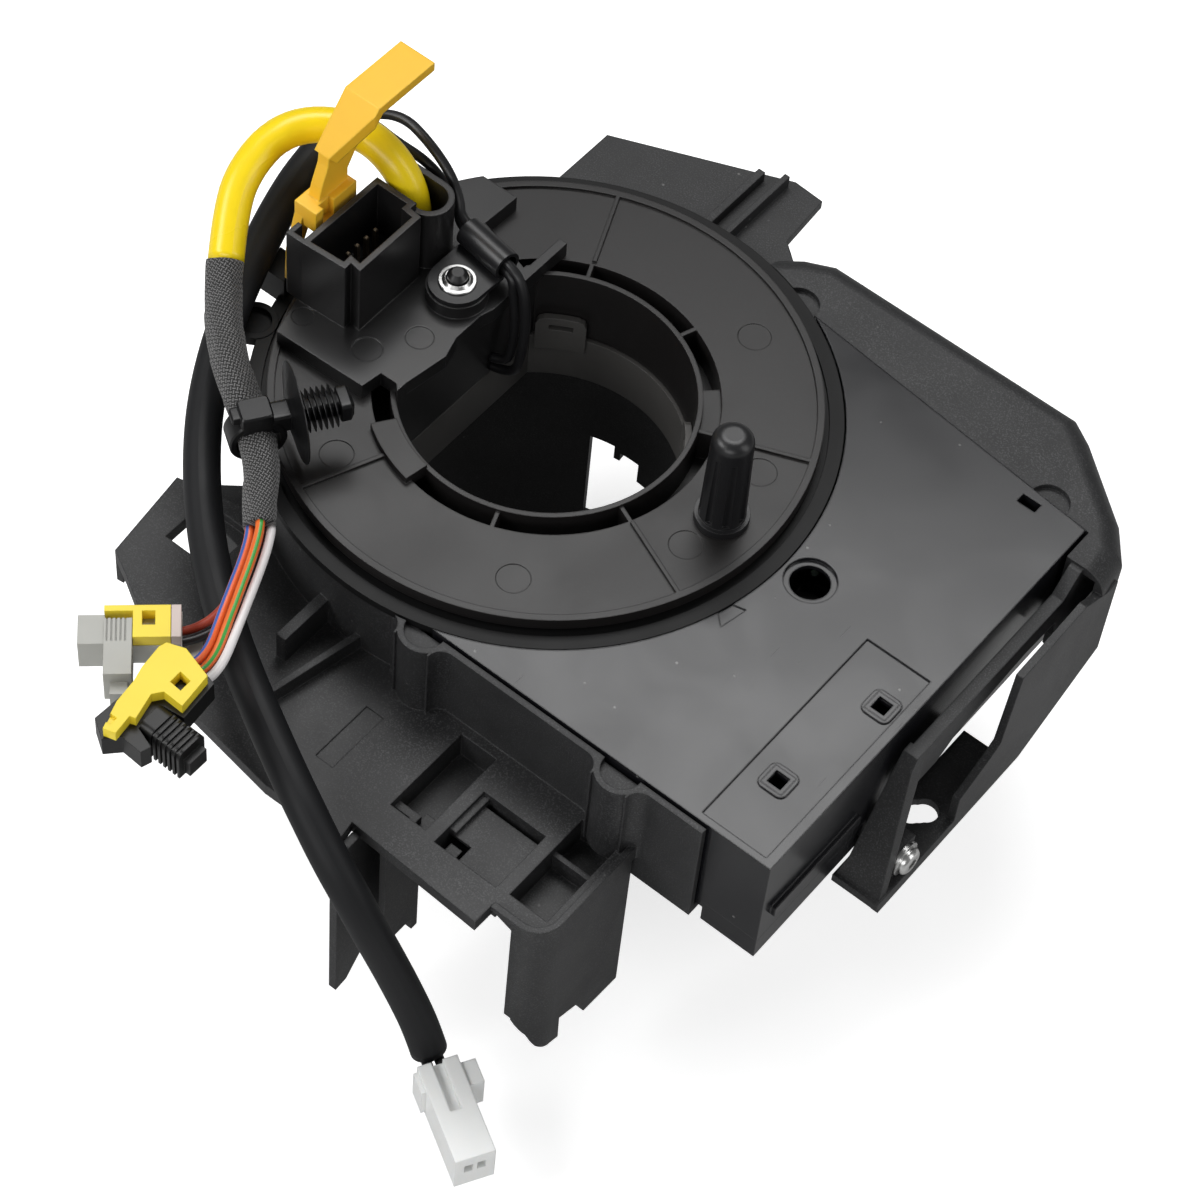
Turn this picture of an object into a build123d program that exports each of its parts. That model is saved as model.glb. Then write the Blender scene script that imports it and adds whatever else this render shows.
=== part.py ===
from build123d import *
import math
import os

os.makedirs("parts", exist_ok=True)

# Steering clock spring in millimetres. Z is the steering axis, pointing to the
# driver, and Z = 0 is the top of the rotor's rim. X runs along the front edge
# of the sensor box and Y along its side.

# Clearances
RUN_GAP = 0.4
SLIDE_GAP = 0.4
PIN_GAP = 0.3
SEAM_GAP = 0.3

# Rotor
DISC_R = 52.0
RIM_WIDTH = 1.4
RIM_RISE = 0.6
DISC_THICK = 1.4
SKIRT_DROP = 0.6
BORE_R = 28.2
HUB_WALL = 1.0
CHANNEL_WIDTH = 3.5
DRUM_WALL = 1.0
CHANNEL_DEPTH = 8.0
CHANNEL_FLOOR = 1.0
HUB_DEPTH = 17.0
DRUM_DEPTH = 16.0
CHANNEL_RIBS = (24, 70, 114, 158, 203, 247.5, 291.5, 337)
DISC_RIBS = (23, 113.5, 247.5, 337)
RIB_THICK = 0.8
EJECTOR_R = 3.2
EJECTOR_DEPTH = 0.15
DISC_EJECTORS = ((20.8, 36.7), (41.1, 11.8), (41.0, -10.3), (22.3, -36.8), (-19.8, -36.7))
FLAT_X = -19.3
FLAT_WALL = 1.5
SHOE_ANGLES = (236, 260)
SHOE_THICK = 1.0
STEP_ANGLES = (26, 45)
STEP_DROP = 2.0
PLATFORM_EJECTORS = ((-44.0, -18.6, 2.2), (-29.9, -16.6, 2.9), (-24.4, -8.0, 2.7))

# Connector block
PLATFORM_TOP = 3.0
PLATFORM_R = 51.5
PLATFORM = ((-45.3, -24.6), (-24.9, -23.8), (-24.3, -19.2), (-19.5, -19.1), (-17.9, -8.1),
            (-20.3, -0.1), (-18.5, 6.6), (-18.5, 28.4), (-20.3, 28.4), (-20.3, 18.0),
            (-33.4, 21.8), (-33.0, 30.9), (-42.9, 30.7), (-50.0, 24.3), (-52.0, 0.0))
SHROUD_TOP = 20.0
SHROUD = ((-46.6, -16.2), (-36.4, -15.6), (-36.5, -13.8), (-34.0, -14.2), (-34.2, 3.2),
          (-37.0, 3.5), (-37.0, 5.2), (-46.6, 5.2))
SHROUD_WALL = 1.2
SHROUD_FLOOR = 3.2
PORT_X = -37.4
PORT_Y = 9.4
PORT_R = 3.6
PORT_WALL = 1.2
PORT_TOP = 18.0
PORT_OPEN_X = -45.5
GUIDE_X = -50.2
GUIDE_THICK = 1.0
GUIDE_Y = -12.9
PIN_SIDE = 0.8
PIN_PITCH = 2.6
PIN_COUNT = 4
PIN_ROW_X = -43.0
PIN_ROW_Y = -3.2
PIN_TOP = 12.0
STUD_X = -26.0
STUD_Y = 4.6
STUD_R = 2.0
STUD_TOP = 9.4
PEDESTAL_R = 6.0
PEDESTAL_RISE = 3.0

# Drive pin
DRIVE_X = 42.0
DRIVE_Y = -1.0
DRIVE_TOP = 24.0
DRIVE_COLLAR_R = 5.2
DRIVE_COLLAR_H = 1.6
DRIVE_R = 4.4
DRIVE_TIP_R = 3.9
DRIVE_FLUTES = 8
FLUTE_R = 0.8

# Cable clamp and push-on washer
CLAMP = ((-31.6, 4.6), (-20.4, 4.6), (-20.2, 9.9), (-20.6, 13.6), (-31.4, 15.6), (-31.6, 11.4))
CLAMP_END_R = 5.6
CLAMP_THICK = 1.0
LOOP_IN_R = 2.2
LOOP_WALL = 0.7
WASHER_R = 3.7
WASHER_THICK = 0.5

# Shipping lock
LOCK_LEFT = -53.2
LOCK_RIGHT = -47.9
LOCK_Y = (-10.5, 0.8)
LOCK_HEAD_LOW = 16.5
LOCK_HEAD_TOP = 21.7
LOCK_STEM_WIDTH = 2.6
LOCK_SHEET = 2.0
LOCK_HANDLE_X = -45.0
LOCK_HANDLE_Y = (3.5, 19.0)
LOCK_HANDLE_Z = 41.0
LOCK_TIP = (-5.0, 31.0)
LOCK_FOOT_Y = -13.4
LOCK_LEG_WIDTH = 2.0

# Stator
STATOR_WALL = 1.5
STATOR_BASE = -18.0
STATOR_FLOOR = 1.2
STATOR_OPENING_R = 34.5
LIP_REACH = 4.0
LIP_WIDTH = 2.8
LIP_TOP = -3.2
LIP_THICK = 1.8
LIP_STEP = 0.6
LUG_OUT = 3.0
LUG_IN = 3.2
LUG_Y = (-14.0, -8.0)
LUG_TOP = 1.8
BOSS_ANGLE = 202.1
BOSS_OUT = 1.64
BOSS_R = 4.5
CABLE_IN_GAP = 3.3
CABLE_OUT_GAP = 2.5
CABLE_TURNS = 6
CABLE_THICK = 0.3
CABLE_WIDTH = 10.0

# Gears of the angle sensor
RING_TEETH = 96
WHEEL_A_TEETH = 28
WHEEL_B_TEETH = 26
TOOTH_THIN = 0.36
RING_FACE = 2.3
RING_TOP = -19.5
WHEEL_FACE = 3.3
WHEEL_TOP = -19.0
WHEEL_B_ANGLE = -32
WHEEL_HUB_R = 3.2
WHEEL_HUB_GAP = 1.3
WHEEL_HUB_TOP = -11.0
POST_R = 1.5
MAGNET_R = 3.4
MAGNET_THICK = 2.2

# Cancel ring
CANCEL_INSET = 0.2
CANCEL_WALL = 1.4
CANCEL_BASE = -29.0
CANCEL_FLANGE_R = 34.0
CANCEL_FLANGE = 1.7
CANCEL_TAB_ANGLES = (122, 36)
CANCEL_TAB_WIDTH = 10.0
CANCEL_TAB_TOP = -11.2
CANCEL_TAB_ROUND = 1.6
CANCEL_SLOT = (4.8, 1.4, 2.0)
COLLAR_WALL = 1.6
COLLAR_TOP = -12.0

# Sensor box
COVER_TOP = -3.0
COVER_THICK = 1.8
COVER_WALL = 1.6
COVER_RIM = 1.2
COVER_RIGHT = 93.5
COVER_FRONT = -53.5
COVER_REAR_Y = 43.0
COVER_REAR_SLOPE = -7.3 / 67.0
BOX_BASE = -29.0
BOX_FLOOR = 1.5
BOX_OPENING_R = 35.5
END_X = 81.5
BASE_SPLIT_X = 18.5
END_BASE = -33.0
PANEL = (77.5, 91.5, -52.0, -3.5)
PANEL_DEPTH = 0.4
EYE_COUNTERBORE_R = 5.0
EYE_R = 3.8
CATCH_SIDE = 3.0
BEZEL_SIDE = 4.6
BEZEL_RIM = 0.7
BEZEL_RISE = 0.35
CATCHES = ((88.0, -13.5), (83.5, -38.0))
REAR_CATCH = (82.0, 41.0)
MARK = ((51.2, -14.5), (57.2, -13.0), (56.0, -19.0))
BOARD_TOP = -25.0
BOARD_THICK = 1.6
HEADER_PIN = 0.64
HEADER_PITCH = 2.5
HEADER_COUNT = 6
HEADER_X = 85.2
HEADER_Y = -34.5

# Bracket
BRACKET_TOP = -3.5
BRACKET_SHEET = 2.0
FLOOR_TOP = -29.4
COLUMN_R = 31.5
COLUMN_WALL = 2.0
COLUMN_BASE = -84.0
COLUMN_WINDOWS = ((98, 108, -51.2), (95, 98.5, -55.0), (87, 95.5, -52.5), (83, 87.5, -58.0))
COLUMN_FOOT = 6.0
RING_WALL_GAP = 1.4
RING_WALL = 1.6
DECK_TOP = -22.0
DECK_THICK = 3.0
FRONT_WALL_Y = -54.0
FRONT_WALL = 1.2
BULGE_R = 5.2
BULGE_BLEND = 3.0
BULGE_DEPTH = 1.4
BULGES_X = (16.5, 61.5)
LEG_X = 67.4
LEG_FRONT_Y = -81.8
LEG_CORNER_R = 5.5
LEG_WALL = 1.6
BEAD = 1.3
BEAD_RISE = 0.7
POCKETS = ((28.4, 36.6, -77.1, -57.3), (39.3, 53.6, -77.9, -64.0), (56.3, 64.8, -77.4, -57.0))
POCKET_WALL = 1.2
POCKET_BASE = -29.6
WING_X = 103.0
WING_FILLET = 5.0
BEAM_X = 95.3
BEAM_WIDTH = 2.6
BEAM_TOP = -9.0
BEAM_BASE = -19.0
STRUT_Y = -14.8
STRUT_WALL = 2.2
PLATE_X = 92.7
PLATE_Y = -27.7
PLATE_BASE = -40.0
SLOT = ((97.6, -5.3), (96.6, -6.3), (95.6, -7.3))
SLOT_R = 2.6
SCREW_X = 101.2
SCREW_Y = -18.4
SCREW_Z = -34.2
SCREW_R = 1.5
SCREW_LENGTH = 7.0
FLANGE_R = 3.6
FLANGE_THICK = 0.8
SCREW_HEAD_R = 2.9
SCREW_HEAD_RISE = 1.6
RECESS_R = 1.3
RECESS_DEPTH = 1.4

# Harness
TUBE_DIA = 6.8
TAPE_DIA = 7.4
SLEEVE_DIA = 7.0
WIRE_DIA = 1.7
HORN_WIRE_DIA = 2.0

YELLOW_TUBE = ((-40.6, 9.4, 4.0), (-40.6, 9.4, 13.0), (-44.6, 9.4, 21.0), (-52.5, 9.1, 24.6),
               (-60.3, 4.6, 25.5), (-64.6, -2.0, 25.0), (-64.9, -10.3, 22.5), (-62.7, -17.4, 19.0),
               (-57.1, -25.2, 14.0))
TAPE_REST = ((-49.0, -34.8, 10.2), (-43.5, -39.4, 9.8), (-37.0, -43.8, 9.2), (-29.8, -47.6, 8.0),
             (-23.4, -52.8, 7.0), (-19.0, -58.4, 6.4), (-15.7, -62.0, 6.2))
TAPE_LEAD = 5.6
CLIP_AT = 5
SLEEVE = ((-62.8, 11.0, 14.0), (-63.0, 4.0, 12.2), (-61.6, -6.0, 8.6), (-58.7, -17.0, 4.5),
          (-54.6, -29.0, 0.2), (-48.1, -41.2, -3.6), (-39.6, -51.9, -5.5), (-29.5, -61.9, -7.0),
          (-19.3, -70.0, -7.6), (-7.8, -77.6, -8.4), (5.0, -84.2, -10.4), (14.9, -88.9, -12.4),
          (22.0, -91.9, -14.3), (28.5, -94.0, -18.4), (34.1, -94.6, -24.7), (38.0, -94.0, -32.8),
          (41.8, -92.6, -43.0), (45.6, -91.5, -53.0), (48.9, -91.2, -60.5), (51.1, -91.5, -65.8))
HORN_A = ((-52.0, 19.0, 21.6), (-45.0, 17.8, 21.0), (-38.8, 17.0, 17.6), (-35.6, 16.2, 13.4))
HORN_B = ((-51.0, 15.4, 18.4), (-44.0, 16.4, 17.2), (-39.4, 16.9, 13.6), (-35.8, 16.2, 10.2))
HORN_DROP = ((-16.6, 11.4, 5.6), (-14.6, 10.2, -2.0), (-14.4, 9.0, -9.0))
HORN_END_Z = -13.5
LEAD_STRAIGHT = 3.0
LEAD_PITCH = 1.9
YELLOW_LEADS = (("lead_blue", (LEAD_PITCH, 0), ((-8.0, -80.6, 7.2),), -5.9),
                ("lead_white", (0, LEAD_PITCH), ((-6.0, -80.4, 8.2),), -3.9),
                ("lead_green", (-LEAD_PITCH, 0), ((-4.2, -80.2, 7.0),), -1.9))
GREY_LEADS = (("lead_red", (0, 0), ((-9.6, -77.6, 3.6),), 2.4),
              ("lead_black", (0, -LEAD_PITCH), ((-8.8, -78.8, 1.0),), 4.6))
CLIP_AXIS_Z = 11.0
CLIP_BAND_WIDTH = 5.0
CLIP_BAND = 1.2
DISH_R = 9.6
DISH_THICK = 1.0
FIN_R = 4.5
FIN_COUNT = 6
FIN_PITCH = 1.1
FIN_THICK = 0.5
CLIP_STEM_R = 1.8

# Yellow airbag plug
YELLOW_TOP = 9.2
YELLOW_LOCK_THICK = 2.4
YELLOW_BASE = 2.0
YELLOW_LOCK = ((-9.9, -92.6), (-6.5, -91.3), (0.1, -93.1), (1.0, -100.5), (-3.3, -100.4), (-4.6, -102.2),
               (-3.2, -107.5), (-4.3, -107.9), (-3.7, -112.0), (-6.0, -112.7), (-8.0, -107.1),
               (-8.7, -102.1), (-9.6, -99.1), (-10.3, -94.1))
YELLOW_BODY = ((-10.0, -92.0), (-7.0, -90.4), (0.9, -92.4), (1.8, -101.0), (-2.6, -101.6),
               (-2.6, -107.6), (1.6, -109.0), (1.0, -111.0), (-3.4, -110.8), (-5.8, -113.4),
               (-9.6, -111.0), (-9.2, -102.0), (-10.4, -96.0))
YELLOW_WINDOW = ((-4.0, -95.5), (-1.4, -95.8), (-1.3, -98.4), (-3.9, -98.2))
PLUG_X = (-3.0, 6.6)
PLUG_Y = (-107.6, -101.2)
PLUG_Z = (0.2, 7.2)
PLUG_ROUND = 1.6
PLUG_RIBS = 6
PLUG_RIB_PITCH = 1.1
YELLOW_WIRE_Z = 4.2

# Grey airbag plug, in its own plan axes
GREY_AT = (-21.4, -88.9)
GREY_TURN = 42.1
GREY_TOP = 5.6
GREY_BASE = -2.2
GREY_LOCK_THICK = 2.6
GREY_WIDTH = 6.8
GREY_RECESS_X = 7.2
GREY_WIRE_Z = 0.6

# White plug at the end of the sleeve
WHITE_AT = (55.0, -93.8)
WHITE_TURN = -30.0
WHITE_LENGTH = 20.6
WHITE_WIDTH = 7.8
WHITE_BASE = -71.8
WHITE_TOP = -62.2
WHITE_LEAD_GAP = 1.25
WHITE_LEAD_Z = -66.0

# Derived values
TUBE_END = [(b - a) / math.dist(YELLOW_TUBE[-2], YELLOW_TUBE[-1])
            for a, b in zip(YELLOW_TUBE[-2], YELLOW_TUBE[-1])]
TAPE = (YELLOW_TUBE[-1], tuple(a + b * TAPE_LEAD for a, b in zip(YELLOW_TUBE[-1], TUBE_END))) + TAPE_REST
HUB_OUT_R = BORE_R + HUB_WALL
CANCEL_R = HUB_OUT_R - CANCEL_INSET
DRUM_IN_R = HUB_OUT_R + CHANNEL_WIDTH
DRUM_OUT_R = DRUM_IN_R + DRUM_WALL
DISC_TOP = -RIM_RISE
DISC_UNDER = DISC_TOP - DISC_THICK
PEDESTAL_TOP = PLATFORM_TOP + PEDESTAL_RISE
CLAMP_TOP = PEDESTAL_TOP + CLAMP_THICK
STATOR_R = DISC_R
LIP_R = STATOR_R + LIP_REACH
CABLE_IN_R = DRUM_OUT_R + CABLE_IN_GAP
CABLE_OUT_R = STATOR_R - STATOR_WALL - CABLE_OUT_GAP
BOSS = ((LIP_R + BOSS_OUT) * math.cos(math.radians(BOSS_ANGLE)),
        (LIP_R + BOSS_OUT) * math.sin(math.radians(BOSS_ANGLE)))
COVER_EDGE_R = LIP_R + SEAM_GAP
WHEEL_REACH = COVER_EDGE_R + COVER_RIM + WHEEL_HUB_GAP + WHEEL_HUB_R
MODULE = 2 * WHEEL_REACH / (RING_TEETH + WHEEL_A_TEETH)
RING_WALL_IN_R = STATOR_R + RING_WALL_GAP
RING_WALL_R = RING_WALL_IN_R + RING_WALL
RING_PITCH_R = RING_TEETH * MODULE / 2
WHEEL_A_R = WHEEL_A_TEETH * MODULE / 2
WHEEL_B_R = WHEEL_B_TEETH * MODULE / 2
WHEEL_A = (WHEEL_REACH, 0.0)
WHEEL_B_REACH = RING_PITCH_R + WHEEL_B_R
WHEEL_B = (WHEEL_B_REACH * math.cos(math.radians(WHEEL_B_ANGLE)),
           WHEEL_B_REACH * math.sin(math.radians(WHEEL_B_ANGLE)))
BOX_FLOOR_TOP = BOX_BASE + BOX_FLOOR
BOARD_BASE = BOARD_TOP - BOARD_THICK
DECK_BASE = DECK_TOP - DECK_THICK
COLUMN_OUT_R = COLUMN_R + COLUMN_WALL
FLOOR_BASE = FLOOR_TOP - BRACKET_SHEET
BIG = 400.0


def cyl(radius, low, high, x=0.0, y=0.0):
    """Upright cylinder between two heights."""
    rod = Cylinder(radius, high - low, align=(Align.CENTER, Align.CENTER, Align.MIN))
    return Pos(x, y, low) * rod


def ring(inner, outer, low, high, x=0.0, y=0.0):
    """Upright tube between two heights."""
    return cyl(outer, low, high, x, y) - cyl(inner, low - 1, high + 1, x, y)


def box(x0, x1, y0, y1, z0, z1):
    """Box between two corners."""
    return Pos((x0 + x1) / 2, (y0 + y1) / 2, (z0 + z1) / 2) * Box(x1 - x0, y1 - y0, z1 - z0)


def prism(points, low, high):
    """Outline in plan, raised between two heights."""
    face = make_face(Polyline(*points, close=True))
    return Pos(0, 0, low) * extrude(face, high - low, dir=(0, 0, 1))


def prism_x(points, x0, x1):
    """Outline of (y, z) points carried from x0 to x1."""
    face = Plane.YZ * make_face(Polyline(*points, close=True))
    return Pos(x0, 0, 0) * extrude(face, x1 - x0, dir=(1, 0, 0))


def prism_y(points, y0, y1):
    """Outline of (x, z) points carried from y0 to y1."""
    face = Plane.XZ * make_face(Polyline(*points, close=True))
    return Pos(0, y0, 0) * extrude(face, y1 - y0, dir=(0, 1, 0))


def wedge(start, stop, reach=BIG, low=-BIG, high=BIG):
    """Wedge about the axis from one angle to another, at most 180 degrees."""
    points = [(0, 0)]
    steps = 4
    for step in range(steps + 1):
        angle = math.radians(start + (stop - start) * step / steps)
        points.append((reach * math.cos(angle), reach * math.sin(angle)))
    return prism(points, low, high)


def sector(inner, outer, start, stop, low, high):
    """Part of a tube between two angles."""
    return ring(inner, outer, low, high) & wedge(start, stop)


def spoke(angle, inner, outer, thick, low, high):
    """Straight radial bar at an angle."""
    return Rot(0, 0, angle) * box(inner, outer, -thick / 2, thick / 2, low, high)


def gear_outline(teeth, pitch_r, phase=0.0):
    """Tooth outline: four points for each tooth, thinned for backlash."""
    half = math.pi * MODULE / 4 - TOOTH_THIN / 2
    root = pitch_r - 1.25 * MODULE
    tip = pitch_r + 0.9 * MODULE
    slope = math.tan(math.radians(20))
    points = []
    for tooth in range(teeth):
        middle = 2 * math.pi * (tooth + phase) / teeth
        wide = (half + (pitch_r - root) * slope) / root
        narrow = (half - (tip - pitch_r) * slope) / tip
        for radius, turn in ((root, -wide), (tip, -narrow), (tip, narrow), (root, wide)):
            points.append((radius * math.cos(middle + turn), radius * math.sin(middle + turn)))
    return points


def cord(points, dia, name):
    """Round cord on straight runs and tangent arcs."""
    runs = [math.dist(a, b) for a, b in zip(points, points[1:])]
    radii = []
    for i in range(1, len(points) - 1):
        u = [(b - a) / runs[i - 1] for a, b in zip(points[i - 1], points[i])]
        v = [(b - a) / runs[i] for a, b in zip(points[i], points[i + 1])]
        turn = math.acos(max(-1, min(1, sum(a * b for a, b in zip(u, v)))))
        radii.append(0.45 * min(runs[i - 1], runs[i]) / math.tan(turn / 2))
    line = FilletPolyline(*points, radius=radii)
    tube = sweep(Plane(origin=line @ 0, z_dir=line % 0) * Circle(dia / 2), path=line)
    ratio = tube.volume / (math.pi * dia * dia / 4 * line.length)
    print(name, "least radius %.1f (%.1f dia)" % (min(radii), min(radii) / dia),
          "length %.1f" % line.length, "volume ratio %.3f" % ratio)
    return tube


def save(shape, name):
    """Write one node."""
    export_step(shape, "parts/" + name + ".step")
    print(name, "solids", len(shape.solids()), "volume %.1f" % shape.volume)


# Rotor disc
def build_rotor_disc():
    """Rim, ribbed drum, hub with its bore, cable channel and the shallow marks on top."""
    body = ring(DRUM_IN_R, DISC_R, DISC_UNDER, DISC_TOP)
    body += ring(DISC_R - RIM_WIDTH, DISC_R, DISC_UNDER - SKIRT_DROP, 0)
    body += ring(DRUM_IN_R, DRUM_OUT_R, -DRUM_DEPTH, DISC_TOP)
    body += ring(BORE_R, HUB_OUT_R, -HUB_DEPTH, 0)
    body += ring(HUB_OUT_R - 0.1, DRUM_IN_R + 0.1, -CHANNEL_DEPTH - CHANNEL_FLOOR, -CHANNEL_DEPTH)
    for angle in CHANNEL_RIBS:
        body += spoke(angle, HUB_OUT_R - 0.1, DRUM_IN_R + 0.1, RIB_THICK, -CHANNEL_DEPTH - 0.5, DISC_TOP)
    for angle in DISC_RIBS:
        body += spoke(angle, DRUM_OUT_R - 0.4, DISC_R - RIM_WIDTH + 0.1, RIB_THICK, DISC_UNDER + 0.2, 0)
    body += sector(HUB_OUT_R - 0.2, DRUM_OUT_R + 0.3, SHOE_ANGLES[0], SHOE_ANGLES[1],
                   DISC_UNDER, SHOE_THICK)
    body += sector(HUB_OUT_R - 0.1, DRUM_IN_R + 0.1, STEP_ANGLES[0], STEP_ANGLES[1],
                   -CHANNEL_DEPTH - 0.5, -STEP_DROP)
    for x, y in DISC_EJECTORS:
        body -= cyl(EJECTOR_R, DISC_TOP - EJECTOR_DEPTH, 1, x, y)
    body -= prism(PLATFORM, DISC_TOP, PLATFORM_TOP)
    body -= cyl(DRIVE_R - 1.0, DISC_UNDER - 1, 1, DRIVE_X, DRIVE_Y)
    return body


# Connector block
def build_connector_block():
    """Platform with the plug shroud, the wire port, the clamp's stud and the pin holes."""
    body = prism(PLATFORM, DISC_TOP, PLATFORM_TOP) & cyl(PLATFORM_R, DISC_TOP, PLATFORM_TOP)
    flat = box(FLAT_X - FLAT_WALL, FLAT_X, -BORE_R, BORE_R, -HUB_DEPTH, PLATFORM_TOP)
    body += flat & cyl(BORE_R - SEAM_GAP / 3, -HUB_DEPTH, PLATFORM_TOP)
    body += prism(SHROUD, PLATFORM_TOP - 1, SHROUD_TOP)
    inner = offset(make_face(Polyline(*SHROUD, close=True)), -SHROUD_WALL, kind=Kind.INTERSECTION)
    cavity = extrude(inner, SHROUD_TOP, dir=(0, 0, 1))
    body += cyl(PORT_R + PORT_WALL, PLATFORM_TOP - 1, PORT_TOP, PORT_X, PORT_Y)
    body += box(PORT_OPEN_X, PORT_X, SHROUD[-1][1] - SHROUD_WALL, PORT_Y + PORT_R + PORT_WALL,
                PLATFORM_TOP - 1, PORT_TOP)
    body -= Pos(0, 0, PLATFORM_TOP + SHROUD_FLOOR) * cavity
    body -= cyl(PORT_R, PLATFORM_TOP, PORT_TOP + 1, PORT_X, PORT_Y)
    body -= box(PORT_OPEN_X - 1, PORT_X, PORT_Y - PORT_R, PORT_Y + PORT_R, PLATFORM_TOP, PORT_TOP + 1)
    body += box(GUIDE_X, SHROUD[0][0] + 0.1, SHROUD[0][1], SHROUD[0][1] + GUIDE_THICK,
                PLATFORM_TOP - 1, SHROUD_TOP) & cyl(BIG, PLATFORM_TOP, SHROUD_TOP)
    body += box(GUIDE_X, GUIDE_X + GUIDE_THICK, SHROUD[0][1], GUIDE_Y, PLATFORM_TOP, SHROUD_TOP)
    for x, y, radius in PLATFORM_EJECTORS:
        body -= cyl(radius, PLATFORM_TOP - EJECTOR_DEPTH, PLATFORM_TOP + 1, x, y)
    body += cyl(PEDESTAL_R, PLATFORM_TOP - 1, PEDESTAL_TOP, STUD_X, STUD_Y)
    body += cyl(STUD_R, PLATFORM_TOP, STUD_TOP - 0.6, STUD_X, STUD_Y)
    body += Pos(STUD_X, STUD_Y, STUD_TOP - 0.6) * Cone(
        STUD_R, STUD_R * 0.6, 0.8, align=(Align.CENTER, Align.CENTER, Align.MIN))
    for i in range(PIN_COUNT):
        y = PIN_ROW_Y + (i - (PIN_COUNT - 1) / 2) * PIN_PITCH
        body -= box(PIN_ROW_X - PIN_SIDE / 2, PIN_ROW_X + PIN_SIDE / 2,
                    y - PIN_SIDE / 2, y + PIN_SIDE / 2, PLATFORM_TOP, SHROUD_TOP)
    return body


def build_contact_pins():
    """Row of square pins with chamfered tips."""
    pins = []
    for i in range(PIN_COUNT):
        y = PIN_ROW_Y + (i - (PIN_COUNT - 1) / 2) * PIN_PITCH
        pin = box(PIN_ROW_X - PIN_SIDE / 2, PIN_ROW_X + PIN_SIDE / 2,
                  y - PIN_SIDE / 2, y + PIN_SIDE / 2, PLATFORM_TOP, PIN_TOP)
        pins.append(chamfer(pin.edges().group_by(Axis.Z)[-1], 0.2))
    return Compound(children=pins)


# Drive pin
def build_drive_pin():
    """Collar, fluted tapering shaft and the core that stands in the disc."""
    body = cyl(DRIVE_COLLAR_R, DISC_TOP, DISC_TOP + DRIVE_COLLAR_H, DRIVE_X, DRIVE_Y)
    shaft_low = DISC_TOP + DRIVE_COLLAR_H
    height = DRIVE_TOP - shaft_low
    shaft = Pos(DRIVE_X, DRIVE_Y, shaft_low) * Cone(
        DRIVE_R, DRIVE_TIP_R, height, align=(Align.CENTER, Align.CENTER, Align.MIN))
    shaft = fillet(shaft.edges().sort_by(Axis.Z)[-1], DRIVE_TIP_R * 0.6)
    for i in range(DRIVE_FLUTES):
        turn = 2 * math.pi * i / DRIVE_FLUTES
        x = DRIVE_X + (DRIVE_R + 0.15) * math.cos(turn)
        y = DRIVE_Y + (DRIVE_R + 0.15) * math.sin(turn)
        shaft -= cyl(FLUTE_R, shaft_low + 0.6, DRIVE_TOP - 4.5, x, y)
    return body + shaft + cyl(DRIVE_R - 1.0, DISC_UNDER, DISC_TOP, DRIVE_X, DRIVE_Y)


# Cable clamp and washer
def build_clamp():
    """Flat clamp held on the stud, with the loop that holds the two thin wires."""
    body = prism(CLAMP, PEDESTAL_TOP, CLAMP_TOP) + cyl(CLAMP_END_R, PEDESTAL_TOP, CLAMP_TOP, STUD_X, STUD_Y)
    start = Vector(-31.3, 13.9, CLAMP_TOP + LOOP_IN_R)
    stop = Vector(-20.2, 12.1, CLAMP_TOP + LOOP_IN_R)
    plane = Plane(origin=start, z_dir=(stop - start))
    length = (stop - start).length
    body += extrude(plane * Circle(LOOP_IN_R + LOOP_WALL), length)
    body -= extrude(plane * Circle(LOOP_IN_R), length)
    body -= cyl(STUD_R + PIN_GAP / 2, 0, 20, STUD_X, STUD_Y)
    return body


def build_washer():
    """Push-on washer that keeps the clamp on its stud."""
    return ring(STUD_R + PIN_GAP / 2, WASHER_R, CLAMP_TOP, CLAMP_TOP + WASHER_THICK, STUD_X, STUD_Y)


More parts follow.
